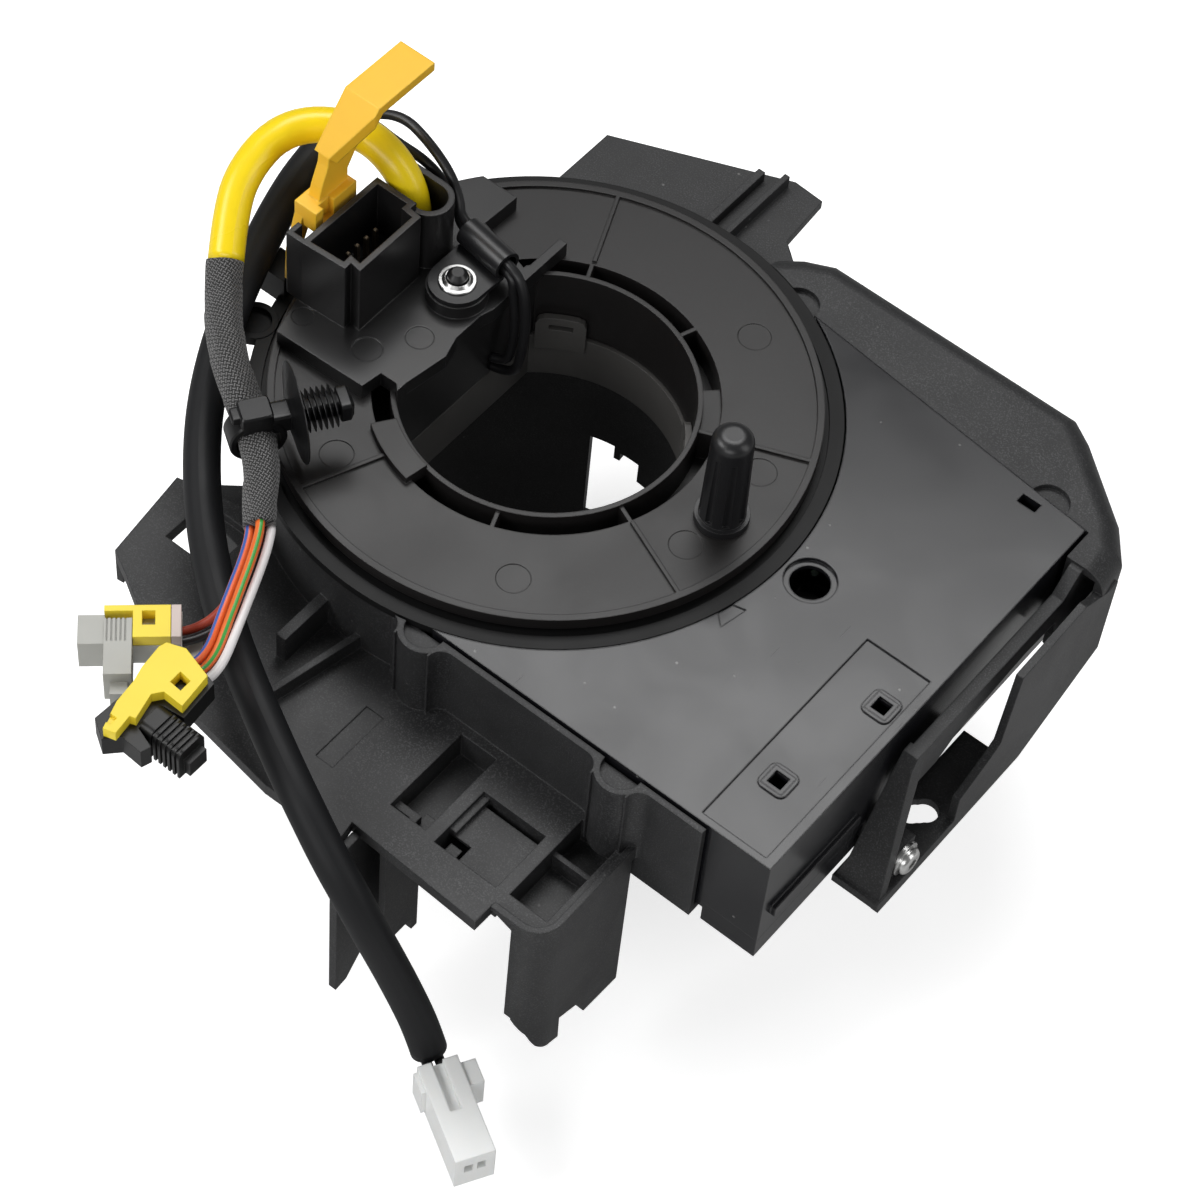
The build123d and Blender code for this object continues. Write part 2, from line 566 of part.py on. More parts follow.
# Shipping lock
def build_lock():
    """Head, stem with its web, bent pull strap and the leg that reaches down to the stator's lug."""
    y0, y1 = LOCK_Y
    tip_y, tip_z = LOCK_TIP
    near, far = LOCK_HANDLE_Y
    top = LOCK_HANDLE_Z
    body = box(LOCK_LEFT, LOCK_RIGHT, y0, y1, LOCK_HEAD_LOW, LOCK_HEAD_TOP)
    web = ((tip_y, tip_z), (near + 1, top - 1), (far - 8, top - 1), (near + 4, top - 8),
           (near - 1, top - 13), (near - 3.3, LOCK_HEAD_LOW + 8), (near - 3.3, LOCK_HEAD_TOP - 1),
           (tip_y - 3, LOCK_HEAD_TOP - 1), (tip_y - 2, LOCK_HEAD_LOW + 8), (tip_y - 0.2, tip_z - 2))
    body += prism_x(web, LOCK_LEFT + 1.0, LOCK_LEFT + 1.0 + LOCK_STEM_WIDTH)
    strap = ((tip_y, tip_z), (near, top), (far, top), (far, top - LOCK_SHEET),
             (near + 1, top - LOCK_SHEET), (tip_y + 1.4, tip_z - LOCK_SHEET * 0.8))
    plan = ((LOCK_LEFT, far), (LOCK_HANDLE_X, far), (LOCK_HANDLE_X, near - 1),
            (LOCK_LEFT + 3.2, tip_y - 0.5), (LOCK_LEFT, tip_y - 0.5))
    body += prism_x(strap, LOCK_LEFT, LOCK_HANDLE_X) & prism(plan, 0, 60)
    foot = LUG_TOP + RUN_GAP + 0.1
    leg = ((y0 + 2.5, LOCK_HEAD_LOW + 2), (y0, LOCK_HEAD_LOW + 2), (LOCK_FOOT_Y + 0.4, 10.5),
           (LOCK_FOOT_Y, foot), (LOCK_FOOT_Y + LOCK_LEG_WIDTH, foot), (LOCK_FOOT_Y + 2.6, 10),
           (y0 + 2.5, LOCK_HEAD_LOW))
    body += prism_x(leg, LOCK_LEFT, LOCK_LEFT + LOCK_LEG_WIDTH)
    body -= box(LOCK_RIGHT - 1.2, LOCK_RIGHT + 1, y0 + 2, y0 + 5, LOCK_HEAD_LOW + 1, LOCK_HEAD_TOP + 1)
    return body


# Stator with the flat cable
def build_stator():
    """Floor, wall and stepped lip round the rotor, with the lug below the lock."""
    body = ring(STATOR_OPENING_R, STATOR_R, STATOR_BASE, STATOR_BASE + STATOR_FLOOR)
    body += ring(STATOR_R - STATOR_WALL, STATOR_R, STATOR_BASE, LIP_TOP - LIP_STEP)
    flange_low = LIP_TOP - LIP_THICK
    body += ring(STATOR_R - 0.1, LIP_R, flange_low, LIP_TOP - LIP_STEP)
    body += ring(LIP_R - LIP_WIDTH, LIP_R, flange_low, LIP_TOP)
    body += box(-LIP_R - LUG_OUT, LUG_IN - LIP_R, LUG_Y[0], LUG_Y[1], flange_low, LUG_TOP)
    body += cyl(BOSS_R, flange_low, LIP_TOP + 0.2, BOSS[0], BOSS[1])
    body -= cyl(BOSS_R - 1.2, LIP_TOP - 1.0, LIP_TOP + 1, BOSS[0], BOSS[1])
    body -= cyl(STATOR_R + RUN_GAP, LIP_TOP - LIP_STEP, 5)
    return body


def build_flat_cable():
    """Wound cable as one closed spiral ribbon between hub and wall."""
    steps = 24
    outer = []
    inner = []
    total = CABLE_TURNS * steps
    for i in range(total + 1):
        turn = 2 * math.pi * i / steps
        radius = CABLE_IN_R + (CABLE_OUT_R - CABLE_IN_R) * i / total
        outer.append(((radius + CABLE_THICK) * math.cos(turn), (radius + CABLE_THICK) * math.sin(turn)))
        inner.append((radius * math.cos(turn), radius * math.sin(turn)))
    low = STATOR_BASE + STATOR_FLOOR + 1.0
    return prism(outer + inner[::-1], low, low + CABLE_WIDTH)


# Cancel ring and ring gear
def build_cancel_ring():
    """Sleeve under the hub with its flat, flange and two rounded tabs."""
    top = -HUB_DEPTH - SEAM_GAP
    body = ring(CANCEL_R - CANCEL_WALL, CANCEL_R, CANCEL_BASE, top)
    flange_top = RING_TOP - RING_FACE
    body += ring(CANCEL_R - 0.2, CANCEL_FLANGE_R, flange_top - CANCEL_FLANGE, flange_top)
    flat = box(FLAT_X - FLAT_WALL, FLAT_X, -CANCEL_R, CANCEL_R, CANCEL_BASE, top)
    body += flat & cyl(CANCEL_R - 0.2, CANCEL_BASE, top)
    half = CANCEL_TAB_WIDTH / 2
    shoulder = CANCEL_TAB_TOP - CANCEL_TAB_ROUND
    corner = half - 0.3 * CANCEL_TAB_ROUND
    crown = half - CANCEL_TAB_ROUND
    turn = shoulder + 0.7 * CANCEL_TAB_ROUND
    tab = prism_x(((-half, top - 3), (-half, shoulder), (-corner, turn), (-crown, CANCEL_TAB_TOP),
                   (crown, CANCEL_TAB_TOP), (corner, turn), (half, shoulder), (half, top - 3)),
                  BORE_R - 4, BORE_R + 1)
    tab &= ring(BORE_R - 1.5, BORE_R - 0.2, top - 3, CANCEL_TAB_TOP)
    width, height, drop = CANCEL_SLOT
    tab -= box(0, BORE_R + 1, -width / 2, width / 2, CANCEL_TAB_TOP - drop - height, CANCEL_TAB_TOP - drop)
    for angle in CANCEL_TAB_ANGLES:
        body += Rot(0, 0, angle) * tab
    return body


def build_ring_gear():
    """Gear on the hub with the collar that carries it."""
    inner = HUB_OUT_R + 0.1
    outline = gear_outline(RING_TEETH, RING_PITCH_R)
    body = prism(outline, RING_TOP - RING_FACE, RING_TOP)
    body += cyl(inner + COLLAR_WALL, RING_TOP - 1, COLLAR_TOP)
    body -= cyl(inner, RING_TOP - 10, 0)
    return body


def mesh_phase(teeth, angle):
    """Turn of a wheel, in teeth, that sets it in mesh with the ring gear."""
    ring_part = (-angle / 360 * RING_TEETH) % 1
    return ((180 + angle) / 360 * teeth - ring_part - 0.5) % 1


def build_wheel(teeth, centre, phase):
    """Measuring wheel with its recessed face and blind hub, set in mesh."""
    pitch_r = teeth * MODULE / 2
    low = WHEEL_TOP - WHEEL_FACE
    body = prism(gear_outline(teeth, pitch_r, phase), low, WHEEL_TOP)
    body -= ring(WHEEL_HUB_R + 1.6, pitch_r - 3.2, WHEEL_TOP - 0.8, WHEEL_TOP + 1)
    body += cyl(WHEEL_HUB_R, low, WHEEL_HUB_TOP)
    body -= cyl(POST_R + PIN_GAP, low - 1, WHEEL_HUB_TOP - 1.2)
    return Pos(centre[0], centre[1], 0) * body


def build_magnet(centre):
    """Ring magnet under a measuring wheel."""
    top = WHEEL_TOP - WHEEL_FACE
    return ring(POST_R + PIN_GAP, MAGNET_R, top - MAGNET_THICK, top, centre[0], centre[1])


# Sensor box
def rear_y(x):
    """Y of the box's slanted rear edge at a given X."""
    return COVER_REAR_Y + (x - 92.0) * COVER_REAR_SLOPE


def box_outline(inset):
    """Plan of the sensor box, drawn in by an inset."""
    right = COVER_RIGHT - inset
    front = COVER_FRONT + inset
    return ((0, front), (right, front), (right, rear_y(right) - inset), (0, rear_y(0) - inset))


def build_cover():
    """Lid of the sensor box with its panel, catches, rim round the rotor and the marks on top."""
    low = BOX_FLOOR_TOP
    body = prism(box_outline(0), low, COVER_TOP)
    body -= prism(box_outline(COVER_WALL), low - 1, COVER_TOP - COVER_THICK)
    body -= cyl(COVER_EDGE_R, low - 1, COVER_TOP + 1)
    rim = ring(COVER_EDGE_R, COVER_EDGE_R + COVER_RIM, COVER_TOP - 12, COVER_TOP)
    body += rim & prism(box_outline(0), low, COVER_TOP)
    body -= box(-1, 12, -BIG, BIG, -BIG, BIG)
    x0, x1, y0, y1 = PANEL
    body -= box(x0, x1, y0, y1, COVER_TOP - PANEL_DEPTH, COVER_TOP + 1)
    body -= cyl(EYE_COUNTERBORE_R, COVER_TOP - 0.8, COVER_TOP + 1, WHEEL_A[0], WHEEL_A[1])
    body -= cyl(EYE_R, COVER_TOP - 3, COVER_TOP + 1, WHEEL_A[0], WHEEL_A[1])
    for x, y in CATCHES:
        floor = COVER_TOP - PANEL_DEPTH
        side = BEZEL_SIDE + 2 * BEZEL_RIM
        bezel = Pos(x, y, floor) * Box(side, side, 2 * BEZEL_RISE)
        body += fillet(bezel.edges().filter_by(Axis.Z), side / 4)
        body -= Pos(x, y, floor) * Box(BEZEL_SIDE, BEZEL_SIDE, 0.6)
        body -= Pos(x, y, floor) * Box(CATCH_SIDE, CATCH_SIDE, 6)
    body -= Pos(REAR_CATCH[0], REAR_CATCH[1], COVER_TOP) * Box(CATCH_SIDE + 1, CATCH_SIDE - 0.8, 8)
    body -= prism(MARK, COVER_TOP - 0.3, COVER_TOP + 1)
    body += box(COVER_RIGHT - 0.2, COVER_RIGHT + 1.0, -50.5, -25, -21.7, -19.3)
    return body


def base_outline():
    """Plan of the box's base, which starts where the bracket's floor ends."""
    return ((BASE_SPLIT_X, COVER_FRONT), (COVER_RIGHT, COVER_FRONT),
            (COVER_RIGHT, rear_y(COVER_RIGHT)), (BASE_SPLIT_X, rear_y(BASE_SPLIT_X)))


def build_sensor_base():
    """Base with the deep connector end, the wheels' posts and the holes for the header pins."""
    body = prism(base_outline(), BOX_BASE, BOX_FLOOR_TOP)
    body += cyl(RING_WALL_IN_R - SEAM_GAP, BOX_BASE, BOX_FLOOR_TOP)
    body -= cyl(BOX_OPENING_R, -BIG, BIG)
    end = box(END_X, COVER_RIGHT, COVER_FRONT, rear_y(COVER_RIGHT), END_BASE, BOX_FLOOR_TOP)
    body += end
    socket = box(END_X + 2, COVER_RIGHT - 2, COVER_FRONT + 8, COVER_FRONT + 30, END_BASE - 1,
                 BOX_BASE + 0.3)
    body -= socket
    for x, y in (WHEEL_A, WHEEL_B):
        body += cyl(POST_R, BOX_BASE + 0.5, WHEEL_TOP + 6, x, y)
        body += ring(POST_R - 0.1, POST_R + 2.4, BOX_BASE + 0.5, BOARD_BASE, x, y)
    for i in range(HEADER_COUNT):
        y = HEADER_Y + (i - (HEADER_COUNT - 1) / 2) * HEADER_PITCH
        body -= Pos(HEADER_X, y, BOX_BASE) * Box(HEADER_PIN, HEADER_PIN, 8)
    return body


def build_board():
    """Circuit board, held on the posts' shoulders."""
    inset = COVER_WALL + 0.6
    right = COVER_RIGHT - inset
    front = COVER_FRONT + inset
    body = prism(((10, front), (right, front), (right, rear_y(right) - inset), (10, rear_y(10) - inset)),
                 BOARD_BASE, BOARD_TOP)
    body -= cyl(BOX_OPENING_R + 1, -BIG, BIG)
    for x, y in (WHEEL_A, WHEEL_B):
        body -= cyl(POST_R + PIN_GAP, -BIG, BIG, x, y)
    for i in range(HEADER_COUNT):
        y = HEADER_Y + (i - (HEADER_COUNT - 1) / 2) * HEADER_PITCH
        body -= Pos(HEADER_X, y, BOARD_BASE) * Box(HEADER_PIN, HEADER_PIN, 8)
    return body


def build_header_pins():
    """Row of square pins from the board down into the connector."""
    pins = []
    for i in range(HEADER_COUNT):
        y = HEADER_Y + (i - (HEADER_COUNT - 1) / 2) * HEADER_PITCH
        pins.append(box(HEADER_X - HEADER_PIN / 2, HEADER_X + HEADER_PIN / 2,
                        y - HEADER_PIN / 2, y + HEADER_PIN / 2, END_BASE + 1, BOARD_TOP + 1))
    return Compound(children=pins)


def build_sensor_chips():
    """Plain chips on the board."""
    chips = []
    for x, y in ((70.5, 8.5), (60.0, -44.0), (78.0, 20.0), (78.0, -20.0)):
        chips.append(Pos(x, y, BOARD_TOP + 0.6) * Box(5, 4, 1.2))
    return Compound(children=chips)


# Bracket
def build_bracket():
    """Column tube, floor, front wall with its bulges, deck with pockets, and the two legs."""
    base = FLOOR_BASE
    body = ring(COLUMN_R, COLUMN_OUT_R, COLUMN_BASE, FLOOR_TOP)
    for start, stop, high in COLUMN_WINDOWS:
        body -= sector(COLUMN_R - 1, COLUMN_OUT_R + 1, start, stop, COLUMN_BASE + COLUMN_FOOT, high)
    floor = prism(((-40, -40), (0, -54), (80, -55.2), (80, 45), (0, 55), (-38, 42)), base, FLOOR_TOP)
    floor += cyl(RING_WALL_R, base, FLOOR_TOP)
    body += floor - cyl(COLUMN_R, -BIG, BIG)
    wall = ring(RING_WALL_IN_R, RING_WALL_R, base, LIP_TOP - LIP_THICK)
    body += wall & (wedge(100, 200) + wedge(199, 286))

    # front wall with its bulges
    front = box(12, 79.5, FRONT_WALL_Y - FRONT_WALL, FRONT_WALL_Y, DECK_BASE, BRACKET_TOP)
    front += box(67, 80, FRONT_WALL_Y - FRONT_WALL, FRONT_WALL_Y, base, BRACKET_TOP)
    outside = box(0, 100, -70, FRONT_WALL_Y, DECK_BASE, BRACKET_TOP)
    face = FRONT_WALL_Y - FRONT_WALL
    for x in BULGES_X:
        front += cyl(BULGE_R, DECK_BASE, BRACKET_TOP, x, FRONT_WALL_Y) & outside
        for side in (-1, 1):
            reach = math.sqrt((BULGE_R + BULGE_BLEND) ** 2 - (FRONT_WALL + BULGE_BLEND) ** 2)
            centre = x + side * reach
            rim = x + side * (BULGE_R - 1.5)
            web = box(min(x, centre), max(x, centre), face - BULGE_BLEND, face + 0.1, DECK_BASE, BRACKET_TOP)
            web -= cyl(BULGE_BLEND, -BIG, BIG, centre, face - BULGE_BLEND)
            front += web - box(min(x, rim), max(x, rim), -70, face - 1, -BIG, BIG)
    for x in BULGES_X:
        front -= cyl(BULGE_R - FRONT_WALL, BRACKET_TOP - BULGE_DEPTH, BRACKET_TOP + 1, x, FRONT_WALL_Y)
    front += box(12, 80, FRONT_WALL_Y - FRONT_WALL, FRONT_WALL_Y, base, DECK_TOP)
    front -= cyl(COVER_EDGE_R, LIP_TOP - LIP_THICK, 1)
    body += front

    # deck with its pockets
    corner_x = LEG_X - LEG_CORNER_R
    corner_y = LEG_FRONT_Y + LEG_CORNER_R
    deck = prism(((1.5, FRONT_WALL_Y), (LEG_X, FRONT_WALL_Y), (LEG_X, corner_y), (corner_x, corner_y),
                  (corner_x, LEG_FRONT_Y), (55.4, -80.6), (55.3, -85.7), (25.7, -84.4), (26.3, -88.3),
                  (8.9, -88.7), (1.5, -80)), DECK_BASE, DECK_TOP)
    deck += cyl(LEG_CORNER_R, DECK_BASE, DECK_TOP, corner_x, corner_y)
    for x0, x1, y0, y1 in POCKETS:
        wall = POCKET_WALL
        deck += box(x0 - wall, x1 + wall, y0 - wall, y1 + wall, POCKET_BASE, DECK_BASE + 0.1)
        deck -= box(x0, x1, y0, y1, POCKET_BASE + wall, DECK_TOP + 1)
    x0, x1, y0, y1 = POCKETS[1]
    deck += box(x0 + 1.2, x1 - 0.1, y0 + 4.5, y1 - 1.2, DECK_BASE, DECK_TOP - 2.2)
    deck += box(x0 + 5.0, x1 - 0.1, y0 - 0.1, y0 + 4.6, DECK_BASE, DECK_TOP - 2.2)
    deck += box(x0 - 0.1, x0 + 1.4, y0 + 4.5, y1 + 0.1, DECK_BASE, DECK_TOP - 1.0)
    deck += box(x0 + 1.4, x0 + 4.0, y0 + 0.8, y0 + 3.2, POCKET_BASE, DECK_BASE)
    x0, x1, y0, y1 = POCKETS[0]
    deck += box(x1 - 3.6, x1 + 0.1, y0 + 1.2, y0 + 4.8, POCKET_BASE, DECK_BASE - 1.0)
    x0, x1, y0, y1 = POCKETS[2]
    deck += box(x0 - 0.1, x1 + 0.1, -65.2, -64.2, POCKET_BASE, DECK_TOP - 2.0)
    deck -= box(11.5, 15.5, -78, -64, DECK_TOP - 0.3, DECK_TOP + 1)
    bead = ring(LEG_CORNER_R - BEAD, LEG_CORNER_R, DECK_TOP - 0.5, DECK_TOP + BEAD_RISE, corner_x, corner_y)
    bead &= box(corner_x, LEG_X, LEG_FRONT_Y, corner_y, DECK_TOP - 1, DECK_TOP + 2)
    bead += box(LEG_X - BEAD, LEG_X, corner_y, FRONT_WALL_Y, DECK_TOP - 0.5, DECK_TOP + BEAD_RISE)
    bead += box(55.6, corner_x, LEG_FRONT_Y, LEG_FRONT_Y + BEAD, DECK_TOP - 0.5, DECK_TOP + BEAD_RISE)
    body += deck + bead

    # leg at the right end of the deck
    profile = ((-56.3, DECK_BASE + 1), (-56.3, -67.5), (-66.2, -66.7), (-68.7, -60.8), (-74, -58.6),
               (-73.8, -66.0), (corner_y, -65.0), (corner_y, DECK_BASE + 1))
    leg = prism_x(profile, LEG_X - LEG_WALL, LEG_X)
    wrap = ring(LEG_CORNER_R - LEG_WALL, LEG_CORNER_R, -70, DECK_BASE + 1, corner_x, corner_y)
    wrap &= box(corner_x, LEG_X, LEG_FRONT_Y, corner_y, -70, 0)
    wrap &= prism_y(((50, 0), (50, -54), (corner_x, -55), (corner_x + 3, -58.5), (LEG_X - 1, -63),
                     (LEG_X, -65.0), (LEG_X + 1, -65.0), (LEG_X + 1, 0)), -40, -100)
    wrap += box(corner_x - 1.5, corner_x + 0.1, LEG_FRONT_Y, LEG_FRONT_Y + LEG_WALL, -54.5, DECK_BASE + 1)
    body += leg + wrap

    # leg at the left end of the deck
    profile = ((-72, DECK_BASE + 1), (-72, -56), (-76, -60), (-80, -61), (-84, -66), (-88, -71),
               (-91, -71.5), (-91, -30), (-88, -28), (-88, DECK_BASE + 1))
    body += prism_x(profile, 26.3, 28.0)
    body += box(27, 33.5, -76, -74.4, -62, DECK_BASE + 1)
    body += box(32, 33.5, -84, -74.4, -58, DECK_BASE + 1)
    return body


def build_wings():
    """Rear wing, side wall, beam, leaning strut and the slotted plate with the screw's boss."""
    # rear wing with its side wall
    top = BRACKET_TOP
    gap = SEAM_GAP
    outline = ((11, rear_y(11) + gap), (COVER_RIGHT + 0.6, rear_y(COVER_RIGHT) + gap),
               (COVER_RIGHT + 0.6, 36), (WING_X, 36), (WING_X - 1, 44), (97, 50.4), (82, 62.5), (77, 65.5),
               (20, 65.5), (14, 62.5), (11, 60))
    wing = prism(outline, FLOOR_BASE, top)
    outer = []
    for edge in wing.edges().group_by(Axis.Z)[-1]:
        middle = edge.center()
        if middle.X > WING_X - 1.2 or (middle.X > 12 and middle.Y > max(44, rear_y(middle.X) + 2)):
            outer.append(edge)
    wing = fillet(outer, WING_FILLET)
    inner = ((9, rear_y(9) + gap + 2), (COVER_RIGHT + 2, rear_y(COVER_RIGHT) + gap + 2),
             (COVER_RIGHT + 2, 34), (WING_X - 2, 34), (WING_X - 3, 43), (95.6, 48.6), (81, 60.3), (76.5, 63),
             (20.5, 63), (15, 60.8), (11, 58))
    wing -= prism(inner, FLOOR_BASE - 1, top - 2)
    wing -= cyl(COVER_EDGE_R, -BIG, BIG)
    for x in (21, 84.5):
        wing -= cyl(4, top - 1.2, top + 1, x, rear_y(x) + gap)

    side = prism_x(((10, -6), (30, -5), (38, -9), (41.5, -9), (41.5, -30.5), (18, -41.4), (-27, -41.4),
                    (-27, -38), (-3.6, -38), (-3.6, -30.7), (5, -27), (8, -25)), WING_X - 1.6, WING_X)
    beam = box(BEAM_X, BEAM_X + BEAM_WIDTH, STRUT_Y, 45, BEAM_BASE, BEAM_TOP)
    beam -= prism_x(((STRUT_Y + 6, BEAM_BASE - 1), (STRUT_Y + 14, BEAM_BASE + 3), (20, BEAM_BASE + 5),
                     (34, BEAM_BASE + 4), (37, BEAM_BASE - 1)), BEAM_X - 1, BEAM_X + BEAM_WIDTH + 1)
    beam += prism_x(((30, BEAM_TOP - 1), (35, BRACKET_TOP - 1), (40, BRACKET_TOP), (40, BEAM_BASE),
                     (30, BEAM_BASE)), BEAM_X, BEAM_X + BEAM_WIDTH)
    strut = prism_x(((STRUT_Y, BEAM_TOP), (STRUT_Y + STRUT_WALL, BEAM_TOP), (STRUT_Y + STRUT_WALL, -13),
                     (PLATE_Y + STRUT_WALL, PLATE_BASE), (PLATE_Y, PLATE_BASE)), 90, 106)
    strut &= prism_y(((BEAM_X - 0.6, BEAM_TOP), (BEAM_X + BEAM_WIDTH, BEAM_TOP), (BEAM_X + BEAM_WIDTH, -12),
                      (WING_X, PLATE_BASE), (PLATE_X, PLATE_BASE),
                      (COVER_RIGHT + RUN_GAP, END_BASE - RUN_GAP)), 0, -60)
    plate = box(PLATE_X, WING_X, PLATE_Y, 14, PLATE_BASE, PLATE_BASE + BRACKET_SHEET)
    for x, y in SLOT:
        plate -= cyl(SLOT_R, -BIG, BIG, x, y)
    boss = box(SCREW_X - 5, SCREW_X, SCREW_Y - 3.4, SCREW_Y + 3.4, PLATE_BASE, SCREW_Z + 3.4)
    boss -= Pos(SCREW_X, SCREW_Y, SCREW_Z) * Rot(0, 90, 0) * Cylinder(SCREW_R + PIN_GAP / 2, 30)
    return wing + side + beam + strut + plate + boss


def build_left_arm():
    """Arm on the left with its web and cross bars."""
    # arm on the left
    arm = prism(((-49.3, -48.5), (-46.4, -68.6), (-41, -71.4), (-34.8, -75), (-14.7, -85.3),
                 (8.9, -88.7), (8.9, -50), (-7.5, -50), (-30, -44)), DECK_BASE, DECK_TOP)
    arm -= cyl(RING_WALL_IN_R, -BIG, BIG)
    arm -= box(-41.5, -30, -60, -49, DECK_BASE - 1, DECK_TOP + 1)
    web = prism(((-49.3, -48.5), (-46.4, -68.6), (-44.9, -68.4), (-47.8, -48.7)), FLOOR_BASE, DECK_BASE + 1)
    cross = box(-8.2, -6.0, -66.5, -52.8, DECK_TOP - 0.5, -15.0)
    cross += prism(((-3.4, -76.0), (-2.0, -76.2), (2.2, -55), (0.8, -55)), DECK_TOP - 0.5, DECK_TOP + 3.5)
    foot = prism(((-34, -36), (-49.3, -48.5), (-30, -52), (-20, -48)), FLOOR_BASE, DECK_BASE + 1)
    foot -= cyl(RING_WALL_IN_R, -BIG, BIG)
    return arm + web + cross + foot


def build_back_plate():
    """Plate at the back with its bars and the web that carries it."""
    # plate at the back
    plate = prism(((-38, 42), (-38, 66.5), (-2, 82), (5, 81.5), (6, 68.5), (14, 62), (14, 53),
                   (-2, 50)), -14, -12)
    plate -= cyl(RING_WALL_IN_R, -BIG, BIG)
    plate += box(-8.6, -7, 56, 78, -12.5, -9.5) + box(-3.6, -2.4, 56, 80, -12.5, -9)
    drop = prism(((-38, 42), (-38, 66.5), (-36, 67.3), (-36, 42)), FLOOR_BASE, -12)
    drop -= cyl(RING_WALL_IN_R, -BIG, BIG)
    return plate + drop


def build_torx():
    """Screw with a flanged, domed head and a six-lobed recess; its axis runs along X."""
    top = FLANGE_THICK + SCREW_HEAD_RISE
    head = fillet(cyl(SCREW_HEAD_R, 0, top).edges().sort_by(Axis.Z)[-1], SCREW_HEAD_RISE * 0.75)
    body = head + cyl(FLANGE_R, 0, FLANGE_THICK) + cyl(SCREW_R, -SCREW_LENGTH, 0.1)
    recess = cyl(RECESS_R * 0.72, top - RECESS_DEPTH, top + 1)
    for i in range(6):
        turn = math.radians(60 * i)
        recess += cyl(RECESS_R * 0.34, top - RECESS_DEPTH, top + 1,
                      RECESS_R * 0.68 * math.cos(turn), RECESS_R * 0.68 * math.sin(turn))
    return Pos(SCREW_X, SCREW_Y, SCREW_Z) * Rot(0, 90, 0) * (body - recess)


# Harness
def build_yellow_tube():
    """Stiff yellow tube from the platform to the tape."""
    return cord(YELLOW_TUBE, TUBE_DIA, "yellow_tube")


def build_tape():
    """Taped bundle under the yellow tube."""
    return cord(TAPE, TAPE_DIA, "tape_wrap")


def build_sleeve():
    """Long black sleeve from the thin wires to the white plug."""
    return cord(SLEEVE, SLEEVE_DIA, "sleeve")


def build_horn_wire(route, rise, side, name):
    """Thin wire from the sleeve, through the clamp loop, down to the hub wall."""
    away = (Vector(*SLEEVE[0]) - Vector(*SLEEVE[1])).normalized()
    over = away.cross(Vector(1, 0, 0)).normalized()
    start = Vector(*SLEEVE[0]) - over * side
    lead = start + away * 4.0
    turn = (-58.6, 17.2, 18.0 + side)
    z = CLAMP_TOP + LOOP_IN_R + rise
    into = (-33.3, 14.22, z)
    out = (-18.6, 11.84, z)
    drop = [(x + rise * 1.2, y, h + rise) for x, y, h in HORN_DROP]
    last = (drop[-1][0] - 0.6, drop[-1][1] - 1.0, HORN_END_Z - rise * 1.2)
    end = (FLAT_X, last[1] - 0.4, last[2] - 0.6)
    points = [tuple(start), tuple(lead), turn] + list(route) + [into, out] + drop + [last, end]
    return cord(points, HORN_WIRE_DIA, name)


def build_lead(slot, middle, face, way, name):
    """One wire from the tape to a plug's face, which it meets squarely."""
    end = Vector(*TAPE[-1])
    along = (end - Vector(*TAPE[-2])).normalized()
    across = along.cross(Vector(0, 0, 1)).normalized()
    start = end + across * slot[0] + across.cross(along) * slot[1]
    stop = Vector(*face)
    points = [start, start + along * LEAD_STRAIGHT] + list(middle) + [stop + way * LEAD_STRAIGHT, stop]
    return cord([tuple(point) for point in points], WIRE_DIA, name)


def yellow_face(x):
    """Point on the yellow plug's wire face."""
    (x0, y0), (x1, y1) = YELLOW_BODY[1], YELLOW_BODY[2]
    return (x, y0 + (x - x0) * (y1 - y0) / (x1 - x0), YELLOW_WIRE_Z)


def yellow_way():
    """Outward direction of the yellow plug's wire face."""
    (x0, y0), (x1, y1) = YELLOW_BODY[1], YELLOW_BODY[2]
    return Vector(y0 - y1, x1 - x0, 0).normalized()


def grey_face(across):
    """Point at the bottom of the grey plug's wire recess."""
    turn = math.radians(GREY_TURN)
    return (GREY_AT[0] + GREY_RECESS_X * math.cos(turn) + across * math.sin(turn),
            GREY_AT[1] + GREY_RECESS_X * math.sin(turn) - across * math.cos(turn), GREY_WIRE_Z)


def grey_way():
    """Outward direction of the grey plug's wire face."""
    turn = math.radians(GREY_TURN)
    return Vector(math.cos(turn), math.sin(turn), 0)


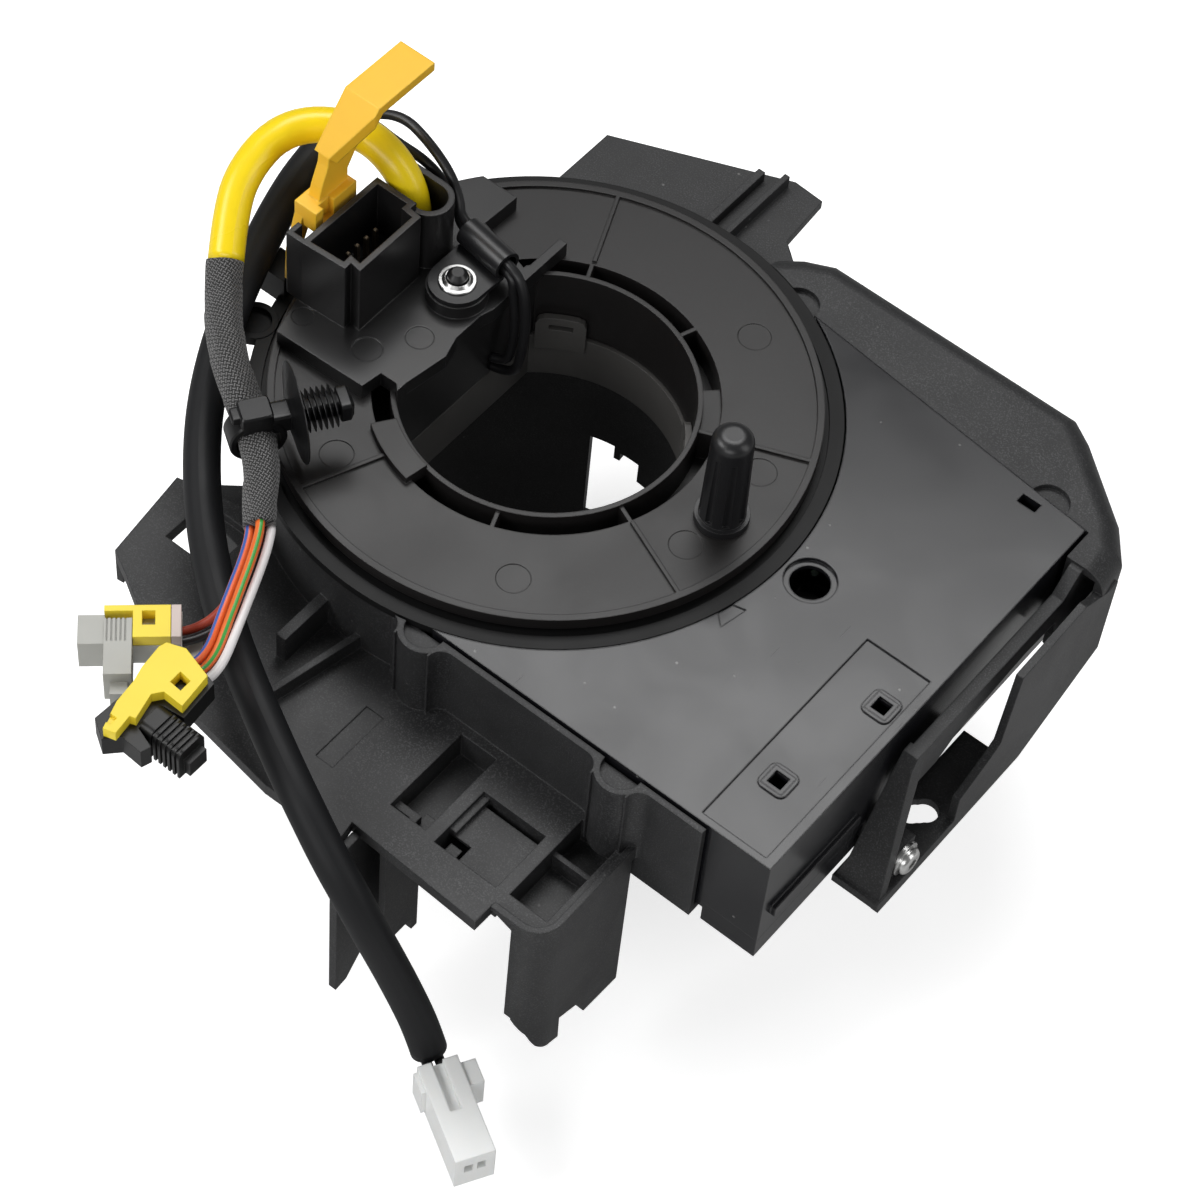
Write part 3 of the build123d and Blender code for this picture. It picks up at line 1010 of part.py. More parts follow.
def build_cable_clip():
    """Fir-tree clip: band round the tape, dish, fins and head."""
    before, at, after = (Vector(*TAPE[CLIP_AT + i]) for i in (-1, 0, 1))
    along = (after - before).normalized()
    flat = Vector(along.X, along.Y, 0).normalized()
    side = Vector(-flat.Y, flat.X, 0)
    band_plane = Plane(origin=at - flat * (CLIP_BAND_WIDTH / 2), z_dir=flat)
    inner = TAPE_DIA / 2 + 0.5
    outer = inner + CLIP_BAND
    band = extrude(band_plane * Circle(outer), CLIP_BAND_WIDTH)
    axis = Vector(at.X, at.Y, CLIP_AXIS_Z)
    plane = Plane(origin=axis + side * 1.0, z_dir=side)
    body = band + extrude(plane * Rectangle(4.4, 4.4), 6.5)
    block = Plane(origin=Vector(at.X, at.Y, at.Z + 2.6), z_dir=Vector(0, 0, 1), x_dir=flat)
    body += extrude(block * Rectangle(5.2, 6.0), 5.0)
    body -= extrude(Plane(origin=at - flat * 6, z_dir=flat) * Circle(inner), 12)
    dish = Plane(origin=axis + side * 6.5, z_dir=side)
    cup = extrude(dish * Circle(DISH_R), DISH_THICK, taper=-25)
    body += cup
    stem = extrude(dish * Circle(CLIP_STEM_R), FIN_PITCH * (FIN_COUNT + 1) + 1)
    body += stem
    for i in range(FIN_COUNT):
        place = Plane(origin=axis + side * (6.5 + DISH_THICK + FIN_PITCH * (i + 0.7)), z_dir=side)
        body += extrude(place * Ellipse(FIN_R, FIN_R * 0.8), FIN_THICK)
    head = Plane(origin=axis + side * (6.5 + DISH_THICK + FIN_PITCH * (FIN_COUNT + 0.4)), z_dir=side)
    body += extrude(head * Rectangle(5.6, 4.4), 3.6, taper=8)
    return body


# Yellow airbag plug
def build_yellow_plug():
    """Body of the yellow connector with its ribbed grip."""
    top = YELLOW_TOP - YELLOW_LOCK_THICK
    body = prism(YELLOW_BODY, YELLOW_BASE, top)
    x0, x1 = PLUG_X
    y0, y1 = PLUG_Y
    z0, z1 = PLUG_Z
    grip = box(x0, x1, y0, y1, z0, z1)
    grip = fillet(grip.edges().filter_by(Axis.X).sort_by(Axis.Z)[-2:], PLUG_ROUND)
    for i in range(PLUG_RIBS):
        at = x0 + 3.0 + i * PLUG_RIB_PITCH
        grip -= box(at, at + PLUG_RIB_PITCH / 2, y0 - 1, y0 + 0.5, z0 - 1, z1 + 1)
        grip -= box(at, at + PLUG_RIB_PITCH / 2, y0 - 1, y1 + 1, z1 - 0.5, z1 + 1)
    grip += box(x1 - 0.1, x1 + 1.4, y0 + 1.2, y1 - 1.0, z0 + 0.8, z1 - 2.4)
    return body + (grip - prism(YELLOW_LOCK, top, YELLOW_TOP + 5))


def build_yellow_lock():
    """Yellow lock of the same connector."""
    body = prism(YELLOW_LOCK, YELLOW_TOP - YELLOW_LOCK_THICK, YELLOW_TOP)
    body -= prism(YELLOW_WINDOW, YELLOW_TOP - YELLOW_LOCK_THICK - 1, YELLOW_TOP + 1)
    body -= box(-7.0, -5.6, -111.4, -109.6, YELLOW_TOP - 0.8, YELLOW_TOP + 1)
    return body


# Grey airbag plug
def grey(x0, x1, y0, y1, z0, z1):
    """Box in the grey plug's own plan axes; Y is measured away from the yellow band's edge."""
    return Pos(GREY_AT[0], GREY_AT[1], 0) * Rot(0, 0, GREY_TURN) * box(x0, x1, -y1, -y0, z0, z1)


def build_grey_plug():
    """Body of the grey connector with the recess for its wires."""
    step = GREY_TOP - GREY_LOCK_THICK
    body = grey(-5.0, 8.5, -0.3, GREY_WIDTH + 0.2, GREY_BASE, step)
    body += grey(-5.0, 0.0 - SEAM_GAP / 3, 2.7, 14.5, GREY_BASE, GREY_TOP)
    body += grey(-3.9, -0.8, 14.0, 17.0, GREY_BASE, step)
    body += grey(-9.6, -4.9, 1.5, 7.6, GREY_BASE, GREY_TOP - 0.8)
    for i in range(5):
        body -= grey(-4.6 + i * 0.8, -4.3 + i * 0.8, 2.6, 7.5, GREY_TOP - 0.3, GREY_TOP + 1)
    body -= grey(GREY_RECESS_X, 9.0, 1.2, 5.6, GREY_BASE + 1.2, step - 0.6)
    body += grey(8.4, 12.0, 3.2, GREY_WIDTH + 0.2, GREY_BASE, GREY_BASE + 1.0)
    return body


def build_grey_lock():
    """Yellow lock of the grey connector."""
    step = GREY_TOP - GREY_LOCK_THICK
    body = grey(0, 6.6, 0, GREY_WIDTH, step, GREY_TOP)
    body -= grey(1.6, 3.9, 1.2, 4.2, step - 1, GREY_TOP + 1)
    body += grey(-5.0, 0.1, 0, 1.2, step, GREY_TOP)
    return body


def build_grey_collar():
    """Pale collar on the grey connector."""
    step = GREY_TOP - GREY_LOCK_THICK
    body = grey(6.7, 8.4, 0, GREY_WIDTH, step, GREY_TOP)
    return body


# White plug
def white(x0, x1, y0, y1, z0, z1):
    """Box in the white plug's own plan axes, X from the wires to the tip."""
    return Pos(WHITE_AT[0], WHITE_AT[1], 0) * Rot(0, 0, WHITE_TURN) * box(x0, x1, y0, y1, z0, z1)


def build_white_plug():
    """Two-pin plug at the sleeve's end."""
    half = WHITE_WIDTH / 2
    body = white(0, WHITE_LENGTH, -half, half, WHITE_BASE, WHITE_TOP)
    body += white(1.5, 6.5, half - 0.1, half + 3.0, WHITE_BASE + 1.0, WHITE_TOP - 0.6)
    body += white(0.5, 5.0, -half - 0.9, -half + 0.1, WHITE_BASE + 1.0, WHITE_TOP - 1.2)
    body -= white(-1, 10.5, -1.2, 1.0, WHITE_TOP - 1.6, WHITE_TOP + 1)
    for side in (-WHITE_LEAD_GAP, WHITE_LEAD_GAP):
        body -= white(WHITE_LENGTH - 5, WHITE_LENGTH + 1, side - 0.8, side + 0.8,
                      WHITE_LEAD_Z - 1.2, WHITE_LEAD_Z + 1.2)
    return body


def white_way():
    """Direction from the white plug's wires to its tip."""
    turn = math.radians(WHITE_TURN)
    return Vector(math.cos(turn), math.sin(turn), 0)


def white_point(x, y, z):
    """Point given in the white plug's own axes."""
    turn = math.radians(WHITE_TURN)
    return Vector(WHITE_AT[0] + x * math.cos(turn) - y * math.sin(turn),
                  WHITE_AT[1] + x * math.sin(turn) + y * math.cos(turn), z)


def build_white_leads(sleeve, plug):
    """Two short wires between the sleeve's end and the white plug."""
    leads = []
    end = Vector(*SLEEVE[-1])
    along = (end - Vector(*SLEEVE[-2])).normalized()
    across = along.cross(Vector(0, 0, 1)).normalized()
    for side in (-WHITE_LEAD_GAP, WHITE_LEAD_GAP):
        start = end - across * side
        stop = white_point(0, side, WHITE_LEAD_Z)
        way = (stop - start).normalized()
        rod = extrude(Plane(origin=start - way * 1.5, z_dir=way) * Circle(HORN_WIRE_DIA / 2),
                      (stop - start).length + 3)
        rod = rod - sleeve - plug
        leads.append(rod.solids().sort_by(SortBy.VOLUME)[-1])
    return Compound(children=leads)


save(build_rotor_disc(), "rotor_disc")
save(build_connector_block(), "connector_block")
save(build_contact_pins(), "contact_pins")
save(build_drive_pin(), "drive_pin")
save(build_clamp(), "cable_clamp")
save(build_washer(), "push_washer")
save(build_lock(), "shipping_lock")
save(build_stator(), "stator")
save(build_flat_cable(), "flat_cable")
save(build_cancel_ring(), "cancel_ring")
save(build_ring_gear(), "ring_gear")
save(build_wheel(WHEEL_A_TEETH, WHEEL_A, mesh_phase(WHEEL_A_TEETH, 0)), "wheel_a")
save(build_wheel(WHEEL_B_TEETH, WHEEL_B, mesh_phase(WHEEL_B_TEETH, WHEEL_B_ANGLE)), "wheel_b")
save(build_magnet(WHEEL_A), "magnet_a")
save(build_magnet(WHEEL_B), "magnet_b")
save(build_cover(), "sensor_cover")
save(build_sensor_base(), "sensor_base")
save(build_board(), "circuit_board")
save(build_header_pins(), "header_pins")
save(build_sensor_chips(), "sensor_chips")
bracket = build_bracket() + build_wings() + build_left_arm() + build_back_plate()
save(bracket - cyl(RING_WALL_IN_R, FLOOR_TOP, BIG), "bracket")
save(build_torx(), "torx_screw")
save(build_yellow_tube(), "yellow_tube")
save(build_tape(), "tape_wrap")
sleeve_tube = build_sleeve()
save(sleeve_tube, "sleeve")
save(build_horn_wire(HORN_A, 1.05, 1.1, "horn_wire_a"), "horn_wire_a")
save(build_horn_wire(HORN_B, -1.05, -1.1, "horn_wire_b"), "horn_wire_b")
for node, slot, middle, across in YELLOW_LEADS:
    save(build_lead(slot, middle, yellow_face(across), yellow_way(), node), node)
for node, slot, middle, across in GREY_LEADS:
    save(build_lead(slot, middle, grey_face(across), grey_way(), node), node)
save(build_cable_clip(), "cable_clip")
save(build_yellow_plug(), "yellow_plug")
save(build_yellow_lock(), "yellow_lock")
save(build_grey_plug(), "grey_plug")
save(build_grey_lock(), "grey_lock")
save(build_grey_collar(), "grey_collar")
white_plug = build_white_plug()
save(white_plug, "white_plug")
save(build_white_leads(sleeve_tube, white_plug), "white_leads")
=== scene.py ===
"""Looks of the steering clock spring: camera, harness cords, finishes, small mouldings and studio light."""

import logging
import math
from collections.abc import Callable, Iterable
from dataclasses import dataclass, field
from enum import Enum

import bmesh
import bpy
import numpy as np
from mathutils import Matrix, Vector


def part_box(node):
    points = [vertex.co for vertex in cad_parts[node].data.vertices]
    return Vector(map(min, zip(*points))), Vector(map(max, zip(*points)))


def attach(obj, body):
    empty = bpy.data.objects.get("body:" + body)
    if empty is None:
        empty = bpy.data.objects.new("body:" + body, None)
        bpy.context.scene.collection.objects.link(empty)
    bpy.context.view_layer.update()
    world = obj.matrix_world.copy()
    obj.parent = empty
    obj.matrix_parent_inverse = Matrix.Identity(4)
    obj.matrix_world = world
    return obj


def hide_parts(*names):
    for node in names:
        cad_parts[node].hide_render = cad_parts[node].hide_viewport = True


MM = 0.001
UP = (0.0, 0.0, 1.0)
LOG = logging.getLogger("clock_spring")

Colour = tuple[float, float, float]
Paint = tuple[float, float, float, float]
Place = tuple[float, float, float]
Points = tuple[Place, ...]
Surface = tuple[np.ndarray, np.ndarray]
Socket = bpy.types.NodeSocket
Value = float | Socket


class Lay(Enum):
    """How a cord lies."""

    LOOSE = "loose"
    TAUT = "taut"


class Stiffness(Enum):
    """How much a cord resists bending."""

    LIMP = "limp"
    MEDIUM = "medium"
    STIFF = "stiff"


class FarEnd(Enum):
    """What is on the far end of a cord."""

    PLUG = "plug"
    OBJECT = "object"
    CONNECTOR = "connector"


# Shader groups.


def add_node(tree: bpy.types.NodeTree, kind: str, inputs: dict | None = None,
             **props: object) -> bpy.types.Node:
    """Add a node to a tree and fill its inputs.

    Args:
        tree: the node tree.
        kind: the node's type name.
        inputs: input name or number to a plain value, or to the socket that feeds it.
        props: properties of the node itself.

    Returns:
        The new node.
    """
    node = tree.nodes.new(kind)
    for name, value in props.items():
        setattr(node, name, value)
    for name, value in (inputs or {}).items():
        if isinstance(value, bpy.types.NodeSocket):
            tree.links.new(value, node.inputs[name])
        else:
            node.inputs[name].default_value = value
    return node


class NodeMaker:
    """Adds nodes to one tree; an input is a plain value or the socket that feeds it."""

    tree: bpy.types.NodeTree

    def node(self, kind: str, inputs: dict | None = None, **props: object) -> bpy.types.Node:
        """Add a node, as add_node does."""
        return add_node(self.tree, kind, inputs, **props)

    def calc(self, operation: str, first: Value, second: Value = 0.0, clamp: bool = False) -> Socket:
        """Work out one number from one or two."""
        return self.node("ShaderNodeMath", {0: first, 1: second}, operation=operation,
                         use_clamp=clamp).outputs[0]

    def noise(self, place: Socket, scale: Value, detail: float, **others: float) -> Socket:
        """Read noise of that scale and detail at a place."""
        return self.node("ShaderNodeTexNoise", {"Vector": place, "Scale": scale, "Detail": detail,
                                                **others}).outputs["Fac"]

    def ranged(self, value: Socket, start: float, stop: float, low: Value = 0.0, high: Value = 1.0) -> Socket:
        """Carry a value that runs from start to stop over to low to high, held at both ends."""
        return self.node("ShaderNodeMapRange", {"Value": value, "From Min": start, "From Max": stop,
                                                "To Min": low, "To Max": high}).outputs[0]


class GroupMaker(NodeMaker):
    """Builds a shader node group with named sockets."""

    def __init__(self, name: str, inputs: dict[str, float | None], outputs: dict[str, str]) -> None:
        """Make the empty group.

        Args:
            name: the group's name.
            inputs: socket name to its starting number, or None for a vector.
            outputs: socket name to its type.
        """
        self.tree = bpy.data.node_groups.new(name, "ShaderNodeTree")
        for label, number in inputs.items():
            kind = "NodeSocketVector" if number is None else "NodeSocketFloat"
            socket = self.tree.interface.new_socket(name=label, in_out="INPUT", socket_type=kind)
            if number is not None:
                socket.default_value = number
        for label, kind in outputs.items():
            self.tree.interface.new_socket(name=label, in_out="OUTPUT", socket_type=kind)
        self.start = self.tree.nodes.new("NodeGroupInput").outputs
        self.end = self.tree.nodes.new("NodeGroupOutput").inputs

    def finish(self, **results: Socket) -> bpy.types.NodeTree:
        """Link the results to the group's outputs.

        Args:
            results: output name to the socket that feeds it.

        Returns:
            The finished group.
        """
        for label, socket in results.items():
            self.tree.links.new(socket, self.end[label])
        return self.tree


def grain_group() -> bpy.types.NodeTree:
    """Moulded grain: fine noise plus a coarser noise, as one height.

    Returns:
        The group.
    """
    group = GroupMaker("moulded_grain", {"Vector": None, "Size": 0.0004, "Coarse": 0.4},
                       {"Height": "NodeSocketFloat"})
    place = group.start["Vector"]
    scale = group.calc("DIVIDE", 1.0, group.start["Size"])
    fine = group.noise(place, scale, 2.0, Roughness=0.6)
    coarse = group.noise(place, group.calc("MULTIPLY", scale, 0.22), 1.0)
    mixed = group.node("ShaderNodeMix", {0: group.start["Coarse"], 2: fine, 3: coarse})
    return group.finish(Height=mixed.outputs[0])


def edge_group() -> bpy.types.NodeTree:
    """Softened edges: the rounded normal of each edge, and how far it leaves the flat one.

    Returns:
        The group.
    """
    group = GroupMaker("soft_edges", {"Radius": 0.0003},
                       {"Normal": "NodeSocketVector", "Edge": "NodeSocketFloat"})
    bevel = group.node("ShaderNodeBevel", {"Radius": group.start["Radius"]}, samples=4)
    flat = group.node("ShaderNodeNewGeometry")
    same = group.node("ShaderNodeVectorMath", {0: bevel.outputs[0], 1: flat.outputs["Normal"]},
                      operation="DOT_PRODUCT")
    left = group.calc("SUBTRACT", 1.0, same.outputs["Value"])
    return group.finish(Normal=bevel.outputs[0], Edge=group.calc("MULTIPLY", left, 4.0, True))


def handling_group() -> bpy.types.NodeTree:
    """Handling marks: wide soft smears and a few long fine scratches, added up.

    Returns:
        The group.
    """
    group = GroupMaker("handling_marks", {"Vector": None, "Smear": 0.5, "Scratch": 0.5},
                       {"Value": "NodeSocketFloat"})
    place = group.start["Vector"]
    wide = group.ranged(group.noise(place, 45.0, 3.0, Distortion=0.6), 0.35, 0.7, 0.0, group.start["Smear"])
    turned = group.node("ShaderNodeMapping", {"Vector": place, "Rotation": (0.2, 0.3, 0.7),
                                              "Scale": (2200.0, 130.0, 130.0)})
    lines = group.noise(turned.outputs[0], 1.0, 1.0)
    thin = group.ranged(lines, 0.72, 0.82, 0.0, group.start["Scratch"])
    return group.finish(Value=group.calc("ADD", wide, thin, True))


def dust_group() -> bpy.types.NodeTree:
    """Dust: small round specks, kept only in a random few cells.

    Returns:
        The group.
    """
    group = GroupMaker("dust_specks", {"Vector": None, "Scale": 420.0, "Amount": 0.1},
                       {"Mask": "NodeSocketFloat"})
    cells = group.node("ShaderNodeTexVoronoi", {"Randomness": 1.0, "Vector": group.start["Vector"],
                                                "Scale": group.start["Scale"]}, feature="F1")
    dot = group.ranged(cells.outputs["Distance"], 0.16, 0.06)
    parts = group.node("ShaderNodeSeparateColor", {0: cells.outputs["Color"]})
    keep = group.calc("LESS_THAN", parts.outputs[0], group.start["Amount"])
    return group.finish(Mask=group.calc("MULTIPLY", dot, keep))


def fleck_group() -> bpy.types.NodeTree:
    """Flecks of glass fibre: the peaks of a fine noise, thinned out by a wide one.

    Returns:
        The group.
    """
    group = GroupMaker("fibre_flecks", {"Vector": None, "Size": 0.00045, "Amount": 0.5},
                       {"Mask": "NodeSocketFloat"})
    place = group.start["Vector"]
    fine = group.noise(place, group.calc("DIVIDE", 1.0, group.start["Size"]), 1.0, Roughness=0.5)
    peaks = group.ranged(fine, 0.5, 0.75, 0.0, group.start["Amount"])
    patch = group.ranged(group.noise(place, 110.0, 2.0), 0.3, 0.65, 0.35)
    return group.finish(Mask=group.calc("MULTIPLY", peaks, patch))


def weave_group() -> bpy.types.NodeTree:
    """Plain weave on a cord's own map: two crossed sine ridges that take turns to lie on top.

    Returns:
        The group.
    """
    group = GroupMaker("plain_weave", {"Vector": None, "Threads": 2000.0}, {"Height": "NodeSocketFloat"})
    scaled = group.node("ShaderNodeVectorMath", {0: group.start["Vector"], 3: group.start["Threads"]},
                        operation="SCALE").outputs[0]
    axes = group.node("ShaderNodeSeparateXYZ", {0: scaled})
    ridges = [group.calc("ABSOLUTE", group.calc("SINE", group.calc("MULTIPLY", axes.outputs[k], math.pi)))
              for k in (0, 1)]
    check = group.node("ShaderNodeTexChecker", {"Scale": 1.0, "Vector": scaled})
    height = group.node("ShaderNodeMix", {0: check.outputs["Fac"], 2: ridges[0], 3: ridges[1]})
    return group.finish(Height=height.outputs[0])


class Workshop:
    """Keeps one copy of each shader group and of each finished material."""

    groups: dict[str, bpy.types.NodeTree] = {}
    finished: dict[str, bpy.types.Material] = {}
    makers: dict[str, Callable[[], bpy.types.NodeTree]] = {
        "grain": grain_group, "edges": edge_group, "marks": handling_group, "dust": dust_group,
        "weave": weave_group, "flecks": fleck_group,
    }

    @classmethod
    def group(cls, name: str) -> bpy.types.NodeTree:
        """The group of that name, built when it is first asked for.

        Args:
            name: its name here.

        Returns:
            The group.
        """
        if name not in cls.groups:
            cls.groups[name] = cls.makers[name]()
        return cls.groups[name]


# Finishes.


def shade(colour: Colour, factor: float = 1.0, lift: float = 0.0) -> Paint:
    """The colour times a factor plus a lift, at most 1, with full alpha."""
    return tuple(min(1.0, part * factor + lift) for part in colour) + (1.0,)


class MaterialMaker(NodeMaker):
    """Node tree of one material, with its Principled shader."""

    def __init__(self, name: str) -> None:
        """Start a material with a Principled shader and its coordinates.

        Args:
            name: the material's name.
        """
        self.material = bpy.data.materials.new(name)
        self.material.use_nodes = True
        self.tree = self.material.node_tree
        self.shader = self.tree.nodes["Principled BSDF"]
        coords = self.node("ShaderNodeTexCoord").outputs
        self.place, self.map = coords["Object"], coords["UV"]

    def group(self, name: str, **inputs: Value) -> bpy.types.bpy_prop_collection:
        """Place a shared group with this material's own values, and give its outputs."""
        return self.node("ShaderNodeGroup", inputs, node_tree=Workshop.group(name)).outputs

    def feed(self, label: str, socket: Socket) -> None:
        """Link a socket to the shader's input of that name."""
        self.tree.links.new(socket, self.shader.inputs[label])

    def fix(self, **values: object) -> None:
        """Set plain numbers and colours on the shader's own sockets; _ stands for a space."""
        for label, value in values.items():
            self.shader.inputs[label.replace("_", " ")].default_value = value

    def blend(self, share: Socket, first: Paint | Socket, second: Paint | Socket) -> Socket:
        """Mix two colours, with as much of the second as share says."""
        return self.node("ShaderNodeMix", {0: share, 6: first, 7: second}, data_type="RGBA").outputs[2]

    def roughen(self, marks: Socket, low: float, high: float) -> None:
        """Let handling marks raise the roughness from low to high."""
        self.feed("Roughness", self.ranged(marks, 0.0, 1.0, low, high))

    def emboss(self, strength: float, depth: float, **links: Socket) -> None:
        """Bump the surface by depth in metres from a Height, over a Normal where one is given."""
        bump = self.node("ShaderNodeBump", {"Strength": strength, "Distance": depth, **links})
        self.feed("Normal", bump.outputs[0])


class Finish:
    """A finish whose material is made when it is first asked for."""

    name: str

    def paint(self, maker: MaterialMaker) -> None:
        """Build the material's nodes.

        Args:
            maker: holds the material.
        """
        raise NotImplementedError

    def build(self) -> bpy.types.Material:
        """Make the material, or give the one already made.

        Returns:
            The finished material.
        """
        if self.name not in Workshop.finished:
            maker = MaterialMaker(self.name)
            self.paint(maker)
            Workshop.finished[self.name] = maker.material
        return Workshop.finished[self.name]


WHITE: Paint = (1.0, 1.0, 1.0, 1.0)
DUST_GREY: Paint = (0.35, 0.35, 0.34, 1.0)


@dataclass(frozen=True)
class Moulded(Finish):
    """A moulded plastic: colour that varies a little, grain, softened edges with a painted highlight along
    them, smears and dust.
    """

    name: str
    colour: Colour
    roughness: float
    grain: float = 0.0004
    depth: float = 0.00001
    coarse: float = 0.35
    mottle: float = 0.12
    edge: float = 0.0003
    # edge_light sets how strong the painted highlight along edges is.
    edge_light: float = 0.25
    smear: float = 0.12
    scratch: float = 0.1
    dust: float = 0.0
    shine: float = 0.5
    glow: float = 0.0
    fleck: float = 0.0
    fleck_size: float = 0.00045

    def paint(self, maker: MaterialMaker) -> None:
        """Build the material's nodes.

        Args:
            maker: holds the material.
        """
        grain = maker.group("grain", Size=self.grain, Coarse=self.coarse, Vector=maker.place)
        edges = maker.group("edges", Radius=self.edge)
        marks = maker.group("marks", Smear=self.smear, Scratch=self.scratch, Vector=maker.place)
        colour = maker.blend(maker.noise(maker.place, 160.0, 4.0), shade(self.colour, 1.0 - self.mottle),
                             shade(self.colour, 1.0 + self.mottle))
        # Painted highlight: the colour is lightened along every edge, by the edge mask times edge_light, for
        # the light that rounded edges catch.
        painted_edge_highlight = maker.calc("MULTIPLY", edges["Edge"], self.edge_light)
        colour = maker.blend(painted_edge_highlight, colour, shade(self.colour, 1.6, 0.03))
        if self.fleck > 0:
            flecks = maker.group("flecks", Size=self.fleck_size, Amount=self.fleck, Vector=maker.place)
            colour = maker.blend(flecks["Mask"], colour, shade(self.colour, 4.5, 0.02))
        if self.dust > 0:
            dust = maker.group("dust", Amount=self.dust, Vector=maker.place)
            colour = maker.blend(maker.calc("MULTIPLY", dust["Mask"], 0.35), colour, DUST_GREY)
        maker.feed("Base Color", colour)
        maker.roughen(marks["Value"], self.roughness, min(1.0, self.roughness + 0.3))
        maker.emboss(1.0, self.depth, Height=grain["Height"], Normal=edges["Normal"])
        maker.fix(Specular_IOR_Level=self.shine)
        if self.glow > 0:
            maker.fix(Subsurface_Weight=self.glow, Subsurface_Radius=(1.0, 0.9, 0.8), Subsurface_Scale=0.002)


@dataclass(frozen=True)
class Plated(Finish):
    """Plated or bare metal with fine brushing."""

    name: str
    colour: Colour
    roughness: float = 0.25
    edge: float = 0.00015
    brushing: float = 0.000004

    def paint(self, maker: MaterialMaker) -> None:
        """Build the material's nodes.

        Args:
            maker: holds the material.
        """
        edges = maker.group("edges", Radius=self.edge)
        marks = maker.group("marks", Smear=0.5, Scratch=0.6, Vector=maker.place)
        cloud = maker.noise(maker.place, 900.0, 2.0)
        maker.feed("Base Color", maker.blend(cloud, shade(self.colour, 0.82), shade(self.colour)))
        maker.roughen(marks["Value"], self.roughness, self.roughness + 0.25)
        maker.emboss(0.6, self.brushing, Height=cloud, Normal=edges["Normal"])
        maker.fix(Metallic=1.0)


@dataclass(frozen=True)
class Jacket(Finish):
    """A cord's jacket on its own map: u runs along the cord and v round it, both in metres."""

    name: str
    colour: Colour
    roughness: float
    girth: float
    stripe: Colour | None = None
    stripe_share: float = 0.16
    stripe_at: float = 0.5
    ripple: float = 0.000012
    shine: float = 0.5

    def paint(self, maker: MaterialMaker) -> None:
        """Build the material's nodes.

        Args:
            maker: holds the material.
        """
        marks = maker.group("marks", Smear=0.35, Scratch=0.15, Vector=maker.place)
        cloud = maker.noise(maker.place, 260.0, 3.0)
        colour = maker.blend(cloud, shade(self.colour, 0.9), shade(self.colour))
        if self.stripe is not None:
            axes = maker.node("ShaderNodeSeparateXYZ", {0: maker.map})
            share = maker.calc("DIVIDE", axes.outputs["Y"], self.girth)
            away = maker.calc("ABSOLUTE", maker.calc("SUBTRACT", share, self.stripe_at))
            half = self.stripe_share / 2
            colour = maker.blend(maker.ranged(away, half + 0.02, half), colour, shade(self.stripe))
        maker.feed("Base Color", colour)
        maker.roughen(marks["Value"], self.roughness, self.roughness + 0.2)
        stretched = maker.node("ShaderNodeMapping", {"Scale": (120.0, 900.0, 1.0), "Vector": maker.map})
        maker.emboss(0.7, self.ripple, Height=maker.noise(stretched.outputs[0], 1.0, 2.0))
        maker.fix(Specular_IOR_Level=self.shine)


@dataclass(frozen=True)
class ClothTape(Finish):
    """Woven harness tape on a cord's own map, with painted shade in the grooves between threads."""

    name: str
    colour: Colour
    threads: float = 1450.0
    depth: float = 0.00015

    def paint(self, maker: MaterialMaker) -> None:
        """Build the material's nodes.

        Args:
            maker: holds the material.
        """
        turned = maker.node("ShaderNodeMapping", {"Rotation": (0.0, 0.0, 0.5), "Vector": maker.map})
        weave = maker.group("weave", Threads=self.threads, Vector=turned.outputs[0])
        dark = shade(self.colour, 0.05)
        # Painted shade: where the weave's height is low, in the grooves between threads, the colour is
        # painted near black; the patches after it darken at random.
        weave_with_painted_groove_shade = maker.blend(maker.ranged(weave["Height"], 0.6, 1.0), dark, shade(self.colour))
        patchy = maker.ranged(maker.noise(maker.place, 700.0, 3.0), 0.45, 0.75, 0.0, 0.3)
        maker.feed("Base Color", maker.blend(patchy, weave_with_painted_groove_shade, dark))
        maker.emboss(1.0, self.depth, Height=weave["Height"])
        maker.fix(Roughness=0.72, Specular_IOR_Level=0.35, Sheen_Weight=0.25, Sheen_Roughness=0.4)


TUBE_ACROSS = 6.8
SLEEVE_ACROSS = 7.0
HORN_WIRE_ACROSS = 2.0
LEAD_ACROSS = 1.7
TAPE_ACROSS = 7.4
TAPE_RADIUS = 3.42 * MM

BLACK_ACETAL = Moulded("black_acetal", (0.0108, 0.0098, 0.0098), 0.34, grain=0.0004, depth=0.000012,
                       smear=0.3, edge_light=0.4, shine=0.42, fleck=0.05)
GLOSSY_ACETAL = Moulded("glossy_black_acetal", (0.0125, 0.0122, 0.0126), 0.28, grain=0.0005, depth=0.000007,
                        smear=0.25, edge_light=0.8, shine=0.52, edge=0.00035)
STATOR_BLACK = Moulded("stator_black", (0.006, 0.006, 0.0062), 0.45, grain=0.0006, depth=0.00001,
                       smear=0.2, edge_light=0.4, shine=0.22, edge=0.0002)
BLACK_ABS = Moulded("black_abs", (0.0072, 0.0072, 0.0088), 0.17, grain=0.0012, depth=0.000004, coarse=0.6,
                    smear=0.3, scratch=0.2, dust=0.05, edge=0.0004, shine=0.45)
GLASS_FILLED = Moulded("glass_filled_black", (0.0195, 0.0197, 0.0205), 0.44, grain=0.0004, depth=0.00003,
                       mottle=0.3, smear=0.3, dust=0.03, edge=0.0004, edge_light=0.5, shine=0.4, fleck=0.5,
                       fleck_size=0.0003)
GREY_ACETAL = Moulded("grey_acetal", (0.085, 0.082, 0.078), 0.42, grain=0.0004, depth=0.000008)
NATURAL_ACETAL = Moulded("natural_acetal", (0.72, 0.7, 0.63), 0.4, glow=0.1)
BLACK_NYLON = Moulded("black_nylon", (0.011, 0.011, 0.012), 0.33, edge=0.0002)
